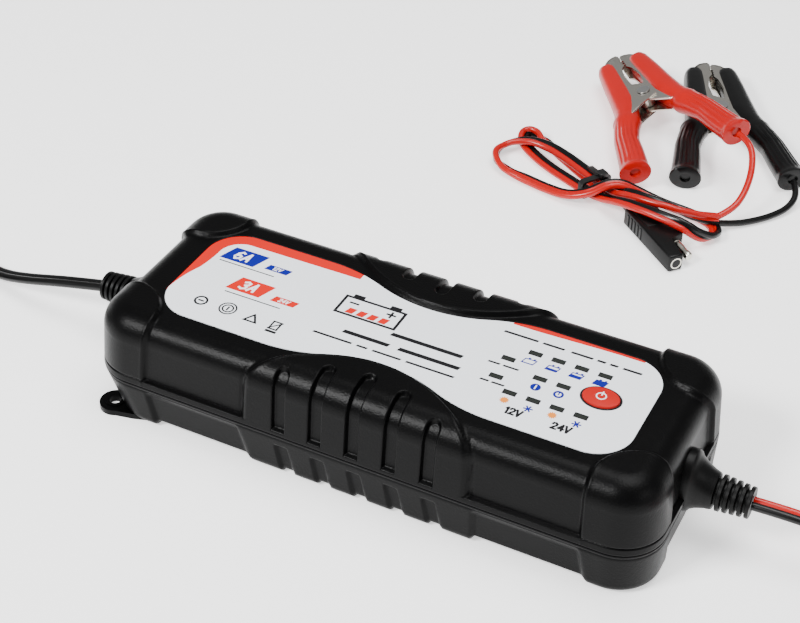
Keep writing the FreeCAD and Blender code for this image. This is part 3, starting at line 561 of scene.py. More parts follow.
def lower_housing():
    """Lower shell, with a well cut into its underside for each housing screw."""
    bm = bmesh.new()
    rings = []
    for z, inset in ((2.6, 2.6), (2.5, 6.0)):
        rings.append([(*outline(column, *base_size(column, z, inset))[:2], z) for column in COLUMNS])
    for loop in shell(bm, lower_column, rings):
        bm.faces.new(loop)
    body = finish("housing_base", bm, "housing_plastic", replaced=["lower_housing"], sharp=50)
    cutter = bmesh.new()
    for x, y in rectangle(0, 0, 92, 30):
        well = bmesh.new()
        turned(well, [(-1.0, 3.9), (0.3, 3.9), (0.9, 3.3), (4.0, 3.3)], 32)
        join(cutter, moved(well, shift(x, y, 0) @ turn("Y", -90)))
    bmesh.ops.recalc_face_normals(cutter, faces=cutter.faces)
    tool_mesh = bpy.data.meshes.new("wells")
    cutter.to_mesh(tool_mesh)
    cutter.free()
    tool_mesh.transform(Matrix.Scale(MM, 4))
    tool = bpy.data.objects.new("wells", tool_mesh)
    bpy.context.scene.collection.objects.link(tool)
    cut = body.modifiers.new("wells", "BOOLEAN")
    cut.operation = "DIFFERENCE"
    cut.solver = "EXACT"
    cut.object = tool
    bpy.context.view_layer.update()
    cut_body = body.evaluated_get(bpy.context.evaluated_depsgraph_get())
    cut_mesh = bpy.data.meshes.new_from_object(cut_body)
    body.modifiers.clear()
    body.data = cut_mesh
    bpy.data.objects.remove(tool)


def ears():
    """Two fixing ears at the mains end."""
    bm = bmesh.new()
    x, out = -102, 38.5
    shape = [(-84.0, -8.0), (-84.0, 1.0), (-92.0, 3.7)]
    for n in range(18):
        a = math.radians(60 + 12 * n)
        shape.append((x + 6 * math.cos(a), 6 * math.sin(a)))
    shape.append((-96.0, -6.6))
    for side in (-1, 1):
        hole = circle(x, side * out, 2.2, 28)
        plate(bm, [(px, side * (out + py)) for px, py in shape], [hole], 0.0, 2.3)
        plate(bm, circle(x, side * out, 3.6, 32), [hole], 2.25, 2.75)
    finish("fixing_ears", bm, "housing_plastic", sharp=40)


# ---- label ----
def label_sheet():
    bm = bmesh.new()
    plate(bm, [label_point(c) for c in COLUMNS], openings(), RECESS, PRINT)
    finish("label_sheet", bm, "label_film", replaced=["label_overlay"], sharp=30)


def printed(name, ink, shapes, low=PRINT, high=PRINT + 0.04):
    """Thin printed shapes on the label; each is an outline, or an outline with its holes.

    Their tops differ a little, so that shapes which overlap don't share a face.
    """
    bm = bmesh.new()
    for number, shape in enumerate(shapes):
        outer, holes = shape if isinstance(shape, tuple) else (shape, [])
        plate(bm, outer, list(holes), low, high + 0.006 * (number % 4))
    return finish(name, bm, ink, sharp=30)


def slanted(x, y, half_x, half_y, lean=0.35):
    return [(px + lean * (py - y), py) for px, py in rectangle(x, y, half_x, half_y)]


def ring_shape(x, y, radius, width):
    return (circle(x, y, radius, 32), [circle(x, y, radius - width, 32)])


def frame_shape(x, y, half_x, half_y, width):
    return (rectangle(x, y, half_x, half_y), [rectangle(x, y, half_x - width, half_y - width)])


def stroke(points, width):
    """Outline of an open line of constant width."""
    left, right = [], []
    for n, (x, y) in enumerate(points):
        ax, ay = points[max(n - 1, 0)]
        bx, by = points[min(n + 1, len(points) - 1)]
        size = math.hypot(bx - ax, by - ay)
        nx, ny = -(by - ay) / size * width / 2, (bx - ax) / size * width / 2
        left.append((x + nx, y + ny))
        right.append((x - nx, y - ny))
    return left + right[::-1]


GLYPHS = {
    "1": [[(0.5, 3.2), (1.2, 4.0), (1.2, 0.0)]],
    "2": [[(0.1, 3.1), (0.5, 3.8), (1.4, 4.0), (2.1, 3.4), (2.0, 2.5), (0.1, 0.1), (2.3, 0.1)]],
    "4": [[(1.7, 0.0), (1.7, 4.0), (0.0, 1.3), (2.4, 1.3)]],
    "3": [[
        (0.1, 3.5), (1.0, 4.0), (2.0, 3.5), (1.9, 2.6), (1.0, 2.1), (2.0, 1.6), (2.1, 0.6),
        (1.0, 0.0), (0.0, 0.5),
    ]],
    "6": [[
        (2.0, 3.6), (1.2, 4.0), (0.3, 3.0), (0.1, 1.2), (0.9, 0.0), (2.0, 0.5), (2.1, 1.7),
        (1.2, 2.3), (0.3, 1.6),
    ]],
    "V": [[(0.0, 4.0), (1.1, 0.0), (2.4, 4.0)]],
    "A": [[(0.0, 0.0), (1.2, 4.0), (2.2, 0.0)], [(0.5, 1.3), (1.9, 1.3)]],
}


def figures(text, x, y, height, weight, lean=0.25):
    """Ratings in plain strokes."""
    shapes = []
    scale = height / 4.0
    for letter in text:
        for line in GLYPHS[letter]:
            points = [(x + (px + lean * py) * scale, y + py * scale) for px, py in line]
            for start, end in zip(points, points[1:]):
                reach = 0.4 * weight / math.dist(start, end)
                dx, dy = (end[0] - start[0]) * reach, (end[1] - start[1]) * reach
                shapes.append(stroke([(start[0] - dx, start[1] - dy), (end[0] + dx, end[1] + dy)], weight))
        x += (3.1 if letter != "1" else 2.3) * scale
    return shapes


def edge_band():
    """Red band along the label's back edge and round its mains end."""
    outer, inner = [], []
    for n in range(31):
        t = n / 30
        y = -17 + 30 * t
        width = 5.0 * smooth(0.15 + 0.85 * t) * min(1.0, t * 1.6 + 0.02)
        outer.append((-LABEL_L, y))
        inner.append((-LABEL_L + width, y))
    for n in range(1, 13):
        a = math.radians(180 - 90 * n / 12)
        outer.append((-LABEL_X + LABEL_CORNER * math.cos(a), LABEL_Y + LABEL_CORNER * math.sin(a)))
        inner.append((-LABEL_X + 9.0 * math.cos(a), LABEL_Y + 8.9 * math.sin(a)))
    for n in range(1, 37):
        x = -LABEL_X + (LABEL_X - 30.5) * n / 36
        edge = label_edge(x)
        outer.append((x, edge))
        inner.append((x, min(edge - 0.02, 21.9 + 0.5 * n / 36)))
    return outer + inner[::-1]


def front_band():
    """Thin red band along the back edge at the output end."""
    outer, inner = [], []
    for n in range(41):
        x = 30.6 + 49.7 * n / 40
        edge = label_edge(x)
        if x >= LABEL_X:
            edge = LABEL_Y + math.sqrt(LABEL_CORNER ** 2 - (x - LABEL_X) ** 2)
        outer.append((x, edge))
        inner.append((x, min(edge - 0.04, 24.6 + 1.3 * smooth((x - 34) / 40))))
    return outer + inner[::-1]


def battery_icon(x, y, level):
    """Little battery, solid up to its level."""
    body = [(-2.4, -1.7), (2.2, -1.7), (2.2, 1.2), (1.3, 1.2), (1.3, 1.8), (0.5, 1.8), (0.5, 1.2)]
    body += [(-0.6, 1.2), (-0.6, 1.8), (-1.4, 1.8), (-1.4, 1.2), (-2.4, 1.2)]
    empty = [(-1.95, -1.4 + 2.3 * level), (1.75, -1.4 + 2.3 * level), (1.75, 0.75), (-1.95, 0.75)]
    outer, inner = ([(x + px + 0.3 * py, y + py) for px, py in shape] for shape in (body, empty))
    return (outer, [inner] if level < 1 else [])


def ratings():
    """Two coloured boxes to each rating, with its figures in white."""
    printed("print_blue_boxes", "blue", [slanted(-75.4, 14.3, 7.2, 4.1), slanted(-60.1, 13.1, 4.7, 1.6)])
    printed("print_red_boxes", "red", [slanted(-63.8, -1.0, 7.0, 4.1), slanted(-48.4, -2.8, 4.8, 1.65)])
    rules = [stroke([(-83.0, 8.7), (-59.6, 8.7)], 0.5), stroke([(-71.2, -7.1), (-48.0, -7.1)], 0.5)]
    printed("print_rules", "black", rules)
    white = figures("6A", -79.5, 12.0, 4.6, 0.95) + figures("12V", -62.6, 12.2, 1.9, 0.38)
    white += figures("3A", -67.9, -3.3, 4.6, 0.95) + figures("24V", -50.9, -3.7, 1.9, 0.38)
    printed("print_box_figures", "white", white, PRINT + 0.04, PRINT + 0.07)


def signs():
    """Four generic signs under the ratings."""
    shapes = [ring_shape(-75.7, -16.2, 2.7, 0.85), ring_shape(-64.6, -15.8, 3.5, 0.6)]
    shapes += [ring_shape(-64.6, -15.8, 2.3, 0.6), stroke([(-76.9, -16.2), (-74.5, -16.2)], 0.8)]
    shapes.append(stroke([(-64.6, -17.0), (-64.6, -14.6)], 0.7))
    corners = [math.radians(a) for a in (90, 210, 330)]
    outer, inner = ([(-54.0 + r * math.cos(a), -17.2 + r * math.sin(a)) for a in corners] for r in (3.5, 1.9))
    shapes += [(outer, [inner]), frame_shape(-44.4, -16.6, 1.9, 2.5, 0.7), rectangle(-44.4, -20.2, 2.2, 0.6)]
    shapes.append(stroke([(-46.6, -18.9), (-42.2, -14.3)], 0.55))
    return shapes


def battery_drawing():
    """Plain drawing of a battery with its posts, and a minus and a plus sign."""
    shapes = [frame_shape(-18.0, 6.4, 12.5, 5.6, 1.1)]
    shapes += [rectangle(-25.5, 12.8, 2.2, 0.8), rectangle(-10.5, 12.8, 2.2, 0.8)]
    shapes += [rectangle(-25.5, 8.4, 1.9, 0.45), rectangle(-10.5, 8.4, 1.9, 0.45)]
    shapes.append(rectangle(-10.5, 8.4, 0.45, 1.9))
    return shapes


def bars():
    """Plain bars in place of wording: for each row its y, its height and where its bars start and end."""
    shapes = []
    for y, weight, spans in (
        (-1.2, 1.9, [(-5.6, 22.3)]),
        (-7.6, 1.9, [(-21.6, -3.4), (0.4, 24.1)]),
        (-12.7, 1.0, [(-31.1, -15.6), (-13.6, -9.4), (-7.4, 3.8), (5.8, 24.4)]),
        (19.4, 1.1, [(29.4, 42.6), (44.4, 52.6), (55.2, 63.4), (65.0, 68.2), (69.8, 72.8), (74.6, 81.6)]),
        (1.4, 0.9, [(31.1, 35.6), (36.8, 42.7)]),
        (-8.7, 0.9, [(32.5, 35.8), (36.8, 41.6)]),
    ):
        for left, right in spans:
            shapes.append(slanted((left + right) / 2, y, (right - left) / 2, weight / 2, 0.3))
    return shapes


def sun(x, y):
    """Little star of twelve points."""
    points = []
    for n in range(24):
        a, radius = math.radians(15 * n), 1.9 if n % 2 else 1.2
        points.append((x + radius * math.cos(a), y + radius * math.sin(a)))
    return points


def label_print():
    printed("print_edge_band", "red", [edge_band(), front_band()])
    ratings()
    black = figures("12V", 46.7, -21.2, 3.1, 0.85, 0.0) + figures("24V", 63.9, -21.2, 3.1, 0.85, 0.0)
    printed("print_black_marks", "black", black + signs() + battery_drawing() + bars())
    printed("print_battery_bars", "red", [slanted(-24.6 + 4.4 * n, 3.9, 1.5, 1.6, 0.3) for n in range(4)])
    levels = (0.12, 0.45, 0.62, 1.0)
    icons = [battery_icon(44.2 + 8.8 * n, 7.8 + 0.2 * n, level) for n, level in enumerate(levels)]
    icons += [circle(51.4, -4.2, 1.9, 32), ring_shape(59.9, -4.1, 1.9, 0.85)]
    icons.append(stroke([(59.9, -4.4), (59.9, -3.0)], 0.5))
    printed("print_blue_icons", "blue", icons)
    for number, degrees in enumerate((8, 68, 128)):
        c, s = 1.7 * math.cos(math.radians(degrees)), 1.7 * math.sin(math.radians(degrees))
        arms = [stroke([(x - c, y - s), (x + c, y + s)], 0.6) for x, y in ((53.6, -15.9), (71.1, -15.6))]
        printed(f"print_snow_{number}", "blue", arms, PRINT, PRINT + 0.04 + 0.008 * number)
    printed("print_suns", "orange", [sun(44.6, -15.4), sun(62.1, -15.1)])
    mark = stroke([(51.4, -5.3), (51.4, -3.1)], 0.5)
    printed("print_white_marks", "white", [mark], PRINT + 0.04, PRINT + 0.07)
    rims = [(rectangle(x, y, 2.5, 1.25), [rectangle(x, y, 2.05, 0.9)]) for x, y in WINDOWS]
    printed("print_window_rims", "black", rims, PRINT, PRINT + 0.08)
    rim = (ellipse(*KEY, 7.5, 5.95, 64), [ellipse(*KEY, 6.85, 5.25, 48)])
    printed("print_key_rim", "black", [rim], PRINT, PRINT + 0.2)


def mode_key():
    """Domed oval key with a power mark, a ring and a bar, standing on it."""
    bm = bmesh.new()
    rings = []
    for a, z in ((7.6, 40.4), (7.6, 41.3), (6.7, 41.35), (6.7, 44.35), (6.5, 44.7)):
        rings.append([(x, y, z) for x, y in ellipse(*KEY, a, a - 1.6, 64)])
    for n in range(1, 9):
        t = 1 - n / 9
        rings.append([(x, y, 44.7 + 0.3 * (1 - t * t)) for x, y in ellipse(*KEY, 6.5 * t, 4.9 * t, 64)])
    skin(bm, rings)
    finish("mode_key", bm, "key_rubber", body="mode_button", replaced=["mode_button"], sharp=50)
    bm = bmesh.new()
    plate(bm, *ring_shape(*KEY, 1.9, 0.45), 44.8, 45.05)
    plate(bm, rectangle(KEY[0], KEY[1] + 1.4, 0.25, 1.1), [], 44.8, 45.07)
    finish("mode_key_mark", bm, "white", body="mode_button", sharp=30)


# ---- strain reliefs ----
def strain_relief(name, side, end, replaced):
    """Oval plate against the housing, then a cone and five ribs round the cord."""
    bm = bmesh.new()
    hood = []
    for x, rise, wide, tall in (
        (107.0, 1.2, 9.4, 12.3), (109.6, 1.2, 9.4, 12.3), (110.3, 1.2, 9.0, 11.8), (110.7, 1.1, 8.5, 10.8),
        (112.4, 0.8, 7.9, 9.3), (114.2, 0.5, 7.4, 8.2), (116.0, 0.2, 7.0, 7.3), (117.6, 0.0, 6.8, 6.8),
        (118.2, 0.0, 6.5, 6.5), (118.4, 0.0, 5.4, 5.4),
    ):
        hood.append([(x, y, z) for y, z in ellipse(0, rise, wide, tall, 56)])
    skin(bm, hood)
    profile = [(117.0, 5.0), (118.4, 5.0)]
    pitch = (end - 118.4) / 5
    for n in range(5):
        x = 118.4 + pitch * n
        big = 6.6 - 0.22 * n
        small = 4.9 - 0.18 * n
        profile += [(x + 0.05 * pitch, small), (x + 0.34 * pitch, small), (x + 0.4 * pitch, big - 0.15)]
        profile += [(x + 0.48 * pitch, big), (x + 0.9 * pitch, big), (x + 0.97 * pitch, big - 0.2)]
    profile += [(end, 4.6), (end - 0.4, 2.6)]
    turned(bm, profile, 56)
    moved(bm, shift(0, 0, 21.0) @ turn("Z", 0 if side > 0 else 180))
    finish(name, bm, "relief_rubber", replaced=[replaced], sharp=35)


# ---- cords ----
def spline(points, name):
    """Centreline of a cord: a smooth NURBS line in metres through the route's corners."""
    curve = bpy.data.curves.new(name, "CURVE")
    curve.dimensions = "3D"
    line = curve.splines.new("NURBS")
    line.points.add(len(points) - 1)
    for target, p in zip(line.points, points):
        target.co = (p[0] * MM, p[1] * MM, p[2] * MM, 1)
    line.order_u = 3
    line.use_endpoint_u = True
    curve.resolution_u = 8
    return curve


def centreline(points, name):
    """Points along the route's smooth line, without doubles."""
    curve = spline(points, name)
    holder = bpy.data.objects.new(name, curve)
    mesh = bpy.data.meshes.new_from_object(holder)
    found = [v.co.copy() / MM for v in mesh.vertices]
    bpy.data.objects.remove(holder)
    bpy.data.curves.remove(curve)
    bpy.data.meshes.remove(mesh)
    kept = found[:1]
    for p in found[1:]:
        if (p - kept[-1]).length > 0.05:
            kept.append(p)
    return kept


def running(points):
    """Each point's share of the whole length."""
    total = [0.0]
    for a, b in zip(points, points[1:]):
        total.append(total[-1] + (Vector(b) - Vector(a)).length)
    return [t / total[-1] for t in total]


def twin_cord(name, slot, route, lobe, offset, web, rolls=None, second=None, replaced=(), right_first=False):
    """Two-core flat cord: a figure-eight section swept along its route, rolled where it twists.

    With a second material, the left lobe takes the first one, or the second one if right_first.
    """
    path = centreline(route, name)
    shares = running(path)
    marks = running(route)
    rolls = rolls or [0.0] * len(route)
    section = []
    half = 16
    for side in (1, -1):
        for n in range(half - 1):
            a = math.radians(-90 * side - 35 + 250 * n / (half - 2))
            section.append((side * offset + lobe * math.cos(a), lobe * math.sin(a)))
        section.append((0.0, side * web))
    bm = bmesh.new()
    rows = []
    step = 0
    for number, p in enumerate(path):
        before = path[max(number - 1, 0)]
        after = path[min(number + 1, len(path) - 1)]
        along = (after - before).normalized()
        across = Vector((0, 0, 1)).cross(along).normalized()
        up = along.cross(across)
        while step < len(marks) - 2 and shares[number] > marks[step + 1]:
            step += 1
        part = (shares[number] - marks[step]) / max(1e-6, marks[step + 1] - marks[step])
        roll = math.radians(rolls[step] + (rolls[step + 1] - rolls[step]) * smooth(part))
        left = across * math.cos(roll) + up * math.sin(roll)
        top = up * math.cos(roll) - across * math.sin(roll)
        rows.append([bm.verts.new(p + left * u + top * v) for u, v in section])
    index = [0, 0]
    if second:
        index = [1, 0] if right_first else [0, 1]
    for low, high in zip(rows, rows[1:]):
        for n in range(2 * half):
            m = (n + 1) % (2 * half)
            face = bm.faces.new((low[n], low[m], high[m], high[n]))
            face.material_index = index[n // half]
    for row in (rows[0], rows[-1]):
        bm.faces.new([row[-1]] + row[:half]).material_index = index[0]
        bm.faces.new(row[half - 1:]).material_index = index[1]
    return finish(name, bm, slot, replaced=replaced, sharp=40, extra=[second] if second else []), path


def coil_route(centre, start, way, slots, gap, stop, half=17.0):
    """Turns of a coil; the cord moves to the next slot, a (radius, height), gap degrees before a full turn."""
    points = []
    total = (len(slots) - 1) * (360.0 - gap) + stop
    steps = int(total / 15)
    for n in range(1, steps + 1):
        theta = total * n / steps
        radius, height = slots[0]
        for k in range(1, len(slots)):
            past = theta - (k * (360.0 - gap) - half)
            radius += (slots[k][0] - slots[k - 1][0]) * smooth(past / (2 * half))
            height += (slots[k][1] - slots[k - 1][1]) * smooth((past + 6) / (2 * half))
        radius += 0.25 * math.sin(theta * 0.031 + 0.7) + 0.15 * math.sin(theta * 0.113)
        a = math.radians(start + way * theta)
        points.append((centre[0] + radius * math.cos(a), centre[1] + radius * math.sin(a), height))
    return points


def mains_cord():
    route = [
        (-130.0, 0.0, 20.4), (-142.0, 0.2, 17.4), (-155.0, -0.2, 14.4), (-170.0, 0.6, 9.6),
        (-185.0, 3.0, 4.8), (-200.0, 8.0, 2.2), (-216.0, 14.5, 1.9), (-232.0, 18.2, 1.75),
        (-244.0, 18.3, 1.75),
    ]
    outer, inner = 38.0, 32.0
    slots = [(outer, 1.75), (inner, 1.75), (inner, 5.15), (outer, 5.15), (outer, 8.55), (inner, 8.55)]
    slots += [(inner, 11.95), (outer, 11.95)]
    route += coil_route((-248.0, -20.0), 87.0, 1, slots, 24.0, 311.0)
    route += [
        (-265.0, -55.2, 12.2), (-257.5, -61.0, 12.9), (-249.5, -64.4, 14.6), (-242.4, -64.2, 17.0),
        (-238.4, -60.4, 19.4), (-238.0, -55.6, 21.4), (-239.1, -50.5, 22.2),
    ]
    return twin_cord(
        "mains_cord_visual", "cord_black", route, 1.6, 1.3, 1.05, replaced=["mains_cord", "mains_cord_coil"]
    )


def dc_lead():
    route = [
        (131.0, 0.0, 21.0), (144.0, 0.2, 21.6), (158.0, 1.6, 19.6), (171.0, 5.0, 13.6), (184.0, 10.0, 7.0),
        (198.0, 16.0, 2.8), (213.0, 20.8, 1.8), (227.0, 22.2, 1.7),
    ]
    outer, inner = 36.05, 29.95
    slots = [(outer, 1.7), (inner, 1.7), (inner, 4.9), (outer, 4.9), (inner, 8.1), (outer, 8.1)]
    route += coil_route((232.0, -14.0), 94.7, -1, slots, 36.0, 60.0)
    route += [
        (197.4, -26.6, 8.3), (193.2, -19.8, 9.4), (191.4, -12.6, 11.2), (193.4, -6.6, 12.9),
        (198.2, -4.4, 13.7), (204.9, -6.3, 13.8),
    ]
    rolls = [0.0] * len(route)
    for n in range(4, len(route) - 1):
        rolls[n] = 12.0 * math.sin(n * 0.8)
    return twin_cord(
        "dc_lead_visual", "twin_lead", route, 1.55, 1.42, 0.75, rolls, FINISHES["red_core"],
        ["dc_lead", "dc_lead_coil"], True,
    )


LEAD_TURN = math.radians(26.0)


def on_floor(a, b, z):
    """Point of the clamp lead's plan, a to its right and b away from the charger."""
    x = 16.6 + a * math.cos(LEAD_TURN) - b * math.sin(LEAD_TURN)
    y = 203.5 + a * math.sin(LEAD_TURN) + b * math.cos(LEAD_TURN)
    return (x, y, z)


def clamp_lead():
    """Lead laid in loops. Each row of the plan is on_floor's a, b and z, then the roll in degrees."""
    plan = [
        (-4.8, -32.1, 4.0, 0), (-11.4, -22.4, 2.6, 0), (-18.2, -13.2, 1.8, 0), (-25.4, -1.6, 1.8, 0),
        (-33.0, 11.6, 1.8, 0), (-40.0, 23.6, 2.2, 20), (-44.6, 31.0, 3.3, 75), (-50.4, 29.6, 3.2, 130),
        (-50.6, 22.8, 2.2, 175), (-46.4, 13.6, 1.8, 180), (-40.0, 3.2, 1.8, 180), (-32.0, -6.6, 1.8, 180),
        (-24.0, -16.4, 1.9, 180), (-17.4, -26.2, 4.6, 180), (-10.4, -36.4, 10.0, 180), (-2.0, -43.8, 11.2, 180),
        (6.0, -49.4, 11.2, 190), (13.4, -53.8, 10.4, 215), (20.8, -55.2, 5.8, 265), (27.2, -51.6, 3.2, 320),
        (29.6, -44.6, 2.2, 355), (26.8, -37.4, 1.8, 360), (18.8, -31.2, 1.9, 360), (8.2, -27.0, 3.4, 360),
        (-3.0, -23.6, 7.4, 360), (-10.0, -22.4, 10.6, 360), (-16.8, -23.2, 10.4, 360), (-24.8, -24.6, 6.4, 360),
        (-33.4, -21.8, 3.2, 360), (-42.0, -14.6, 1.8, 360), (-50.8, -7.4, 1.8, 360), (-60.0, -0.6, 2.2, 385),
        (-65.2, 9.6, 3.3, 440), (-60.2, 19.0, 3.6, 500), (-49.6, 20.2, 5.6, 530), (-39.6, 15.2, 5.6, 548),
        (-31.0, 4.8, 5.5, 552), (-24.4, -4.8, 5.4, 552), (-18.2, -13.4, 5.4, 552), (-12.4, -22.4, 6.2, 552),
        (-7.2, -30.0, 10.4, 550), (0.6, -36.2, 11.4, 540), (10.0, -40.0, 10.4, 515), (20.2, -41.8, 6.8, 470),
        (30.6, -41.4, 5.3, 428),
    ]
    route = [on_floor(a, b, z) for a, b, z, _ in plan]
    rolls = [roll for _, _, _, roll in plan]
    return twin_cord(
        "clamp_lead_visual", "red_core", route, 1.5, 1.42, 0.8, rolls, FINISHES["black_core"], ["clamp_lead"]
    )


def core(name, slot, plan, replaced):
    """One core on its own, as a round line."""
    curve = spline([on_floor(*p) for p in plan], name)
    curve.bevel_depth = 1.5 * MM
    curve.bevel_resolution = 6
    curve.use_fill_caps = True
    curve.materials.append(FINISHES[slot])
    obj = bpy.data.objects.new(name, curve)
    bpy.context.scene.collection.objects.link(obj)
    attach(obj, "charger")
    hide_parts(replaced)
    return obj


# ---- plug, connectors, ties ----
def plug():
    """Two-blade plug: a ridged neck that widens into its body."""
    place = shift(-242.0, -34.0, 22.2) @ turn("Z", 100)
    bm = bmesh.new()

    def ring(x, half_y, half_z, radius):
        points = []
        for cx, cy, start in ((1, 1, 0), (-1, 1, 90), (-1, -1, 180), (1, -1, 270)):
            for n in range(9):
                a = math.radians(start + 90 * n / 8)
                y = cx * (half_y - radius) + radius * math.cos(a)
                z = cy * (half_z - radius) + radius * math.sin(a)
                points.append((x, y, z))
        return points

    stations = [(-17.6, 2.2, 2.2, 2.1), (-18.0, 3.3, 3.0, 2.9)]
    for n in range(4):
        x = -16.0 + 3.6 * n
        grow = 0.55 * n
        stations += [(x - 0.9, 4.0 + grow, 3.6 + grow, 3.5), (x + 0.9, 4.1 + grow, 3.7 + grow, 3.5)]
        stations += [(x + 1.2, 3.4 + grow, 3.1 + grow, 3.0), (x + 2.3, 3.5 + grow, 3.2 + grow, 3.0)]
    stations += [(-1.5, 7.2, 5.6, 4.5), (1.5, 10.4, 7.2, 5.0), (4.5, 11.8, 8.1, 5.0), (8.0, 12.2, 8.3, 5.0)]
    stations += [(9.0, 11.7, 7.8, 5.0), (10.0, 11.7, 7.8, 5.0), (11.0, 12.3, 8.4, 5.0), (20.6, 12.5, 8.5, 5.0)]
    stations += [(21.6, 12.2, 8.2, 4.8), (22.0, 11.5, 7.5, 4.3)]
    skin(bm, [ring(*s) for s in stations])
    moved(bm, place)
    body = finish("mains_plug_body", bm, "connector_black", replaced=["mains_plug"], sharp=40)
    bm = bmesh.new()
    shape = [(12.0, -3.15), (37.4, -3.15), (38.6, -2.4), (39.0, -1.4)]
    for side in (-1, 1):
        blade = bmesh.new()
        plate(blade, shape + [(x, -z) for x, z in reversed(shape)], [circle(34.0, 0.0, 1.6, 20)], -0.75, 0.75)
        join(bm, moved(blade, shift(0, side * 6.35, 0) @ turn("X", 90)))
    moved(bm, place)
    blades = finish("mains_plug_pair", bm, "contact_metal", replaced=["mains_plug_blades"], sharp=30)
    return body, blades


def quick_connector(name, place, node):
    """Two-pole connector: ridged back, socket arm, bare split pin."""
    bm = bmesh.new()
    shape = [(0.0, -5.6), (1.4, -7.1), (39.2, -7.2), (40.0, -6.6), (40.0, -1.0), (39.4, -0.4)]
    shape += [(28.2, -0.4), (27.2, 0.4), (27.0, 6.6), (26.3, 7.2), (1.4, 7.1), (0.0, 5.6)]
    prism(bm, shape, -4.0, 4.0, 0.9)
    for n in range(5):
        for side in (-1, 1):
            low, high = sorted((side * 6.4, side * 7.5))
            block(bm, (4.2 + 2.7 * n, low, -2.9), (5.6 + 2.7 * n, high, 2.9), 0.3)
    block(bm, (3.6, -5.0, 3.4), (17.0, 5.0, 4.25), 0.35)
    tail = []
    for x, half_y, half_z in ((-6.0, 3.8, 2.2), (-5.6, 4.3, 2.6), (-0.4, 4.6, 2.8), (0.6, 5.2, 3.3)):
        tail.append([(x, y, z) for y, z in ellipse(0, 0, half_y, half_z, 32)])
    skin(bm, tail)
    moved(bm, place)
    body = finish(name, bm, "connector_black", replaced=[node], sharp=40)
    bm = bmesh.new()
    profile = [(26.2, 1.9), (27.6, 1.95), (28.0, 1.6), (28.7, 1.6), (29.1, 1.95), (31.6, 1.97)]
    profile += [(32.6, 1.8), (34.6, 1.75), (35.6, 1.95), (37.4, 1.95), (38.2, 1.5), (38.5, 0.8)]
    turned(bm, profile, 32)
    moved(bm, shift(0, 3.6, 0))
    tube = bmesh.new()
    rings = []
    for x, r in ((28.0, 2.7), (39.6, 2.7), (40.15, 2.6), (40.15, 2.05), (39.8, 1.95), (28.5, 1.95)):
        rings.append([(x, r * py - 3.8, r * pz) for py, pz in circle(0, 0, 1, 32)])
    skin(tube, rings)
    join(bm, tube)
    moved(bm, place)
    metal = finish(name + "_metal", bm, "contact_metal", replaced=[node + "_contacts"], sharp=35)
    return body, metal


def band(name, place, half_u, low, high, width, node, tail=None):
    """Plastic tie: a thin rounded loop round a bundle, with its head and a cut tail."""
    bm = bmesh.new()
    thick, radius = 0.9, 2.0
    middle = (low + high) / 2
    rows = []
    top, bottom = high - radius, low + radius
    for side, level, start in ((1, top, 0), (-1, top, 90), (-1, bottom, 180), (1, bottom, 270)):
        for n in range(6):
            a = math.radians(start + 90 * n / 5)
            u = side * (half_u - radius) + radius * math.cos(a)
            v = level + radius * math.sin(a) - middle
            inner_u, inner_v = (c * (abs(c) - thick) / abs(c) if abs(c) > thick else c for c in (u, v))
            ring = ((-1, u, v), (1, u, v), (1, inner_u, inner_v), (-1, inner_u, inner_v))
            rows.append([bm.verts.new((side_x * width / 2, pu, middle + pv)) for side_x, pu, pv in ring])
    for row, following in zip(rows, rows[1:] + rows[:1]):
        quads(bm, row, following)
    head = half_u * 0.2
    block(bm, (-width / 2 - 0.6, head, high - 0.6), (width / 2 + 0.6, head + 4.2, high + 1.6), 0.4)
    if tail:
        lie = shift(0, half_u * 0.3, high + 0.3) @ turn("Z", 82) @ turn("X", -8)
        block(bm, (-1.5, 0.0, -0.45), (1.5, tail, 0.45), 0.2, lie)
    moved(bm, place)
    return finish(name, bm, "tie_plastic", replaced=[node], sharp=40)


# ---- clamps ----
BOOT = [
    # centre x, y, half width, half thickness, corner squareness
    (-7.4, 36.4, 3.2, 3.6, 0.55), (-7.7, 35.5, 4.5, 4.9, 0.6),
    (-7.9, 33.0, 5.1, 5.2, 0.65), (-8.4, 27.0, 5.4, 5.4, 0.65),
    (-9.0, 20.0, 5.6, 5.5, 0.65), (-9.8, 8.0, 6.0, 5.6, 0.62), (-10.5, 0.0, 6.3, 5.6, 0.6),
    (-12.2, -8.0, 5.8, 5.6, 0.55), (-13.9, -13.0, 5.9, 5.6, 0.5), (-14.3, -14.4, 6.5, 5.7, 0.5),
    (-14.7, -15.9, 6.7, 5.7, 0.5), (-15.1, -17.0, 6.3, 5.7, 0.5), (-15.7, -18.4, 6.2, 5.5, 0.5),
    (-17.4, -23.0, 6.0, 5.4, 0.5), (-19.6, -30.0, 5.9, 5.3, 0.5), (-21.2, -40.0, 6.3, 5.4, 0.5),
    (-23.0, -50.0, 6.6, 5.5, 0.5), (-23.8, -54.0, 6.7, 5.5, 0.5), (-23.9, -54.4, 7.1, 5.7, 0.5),
    (-24.2, -55.9, 7.2, 5.7, 0.5), (-24.3, -56.2, 6.6, 5.2, 0.5), (-24.2, -56.0, 2.4, 2.2, 0.5),
    (-24.0, -54.6, 2.2, 2.0, 0.5),
]


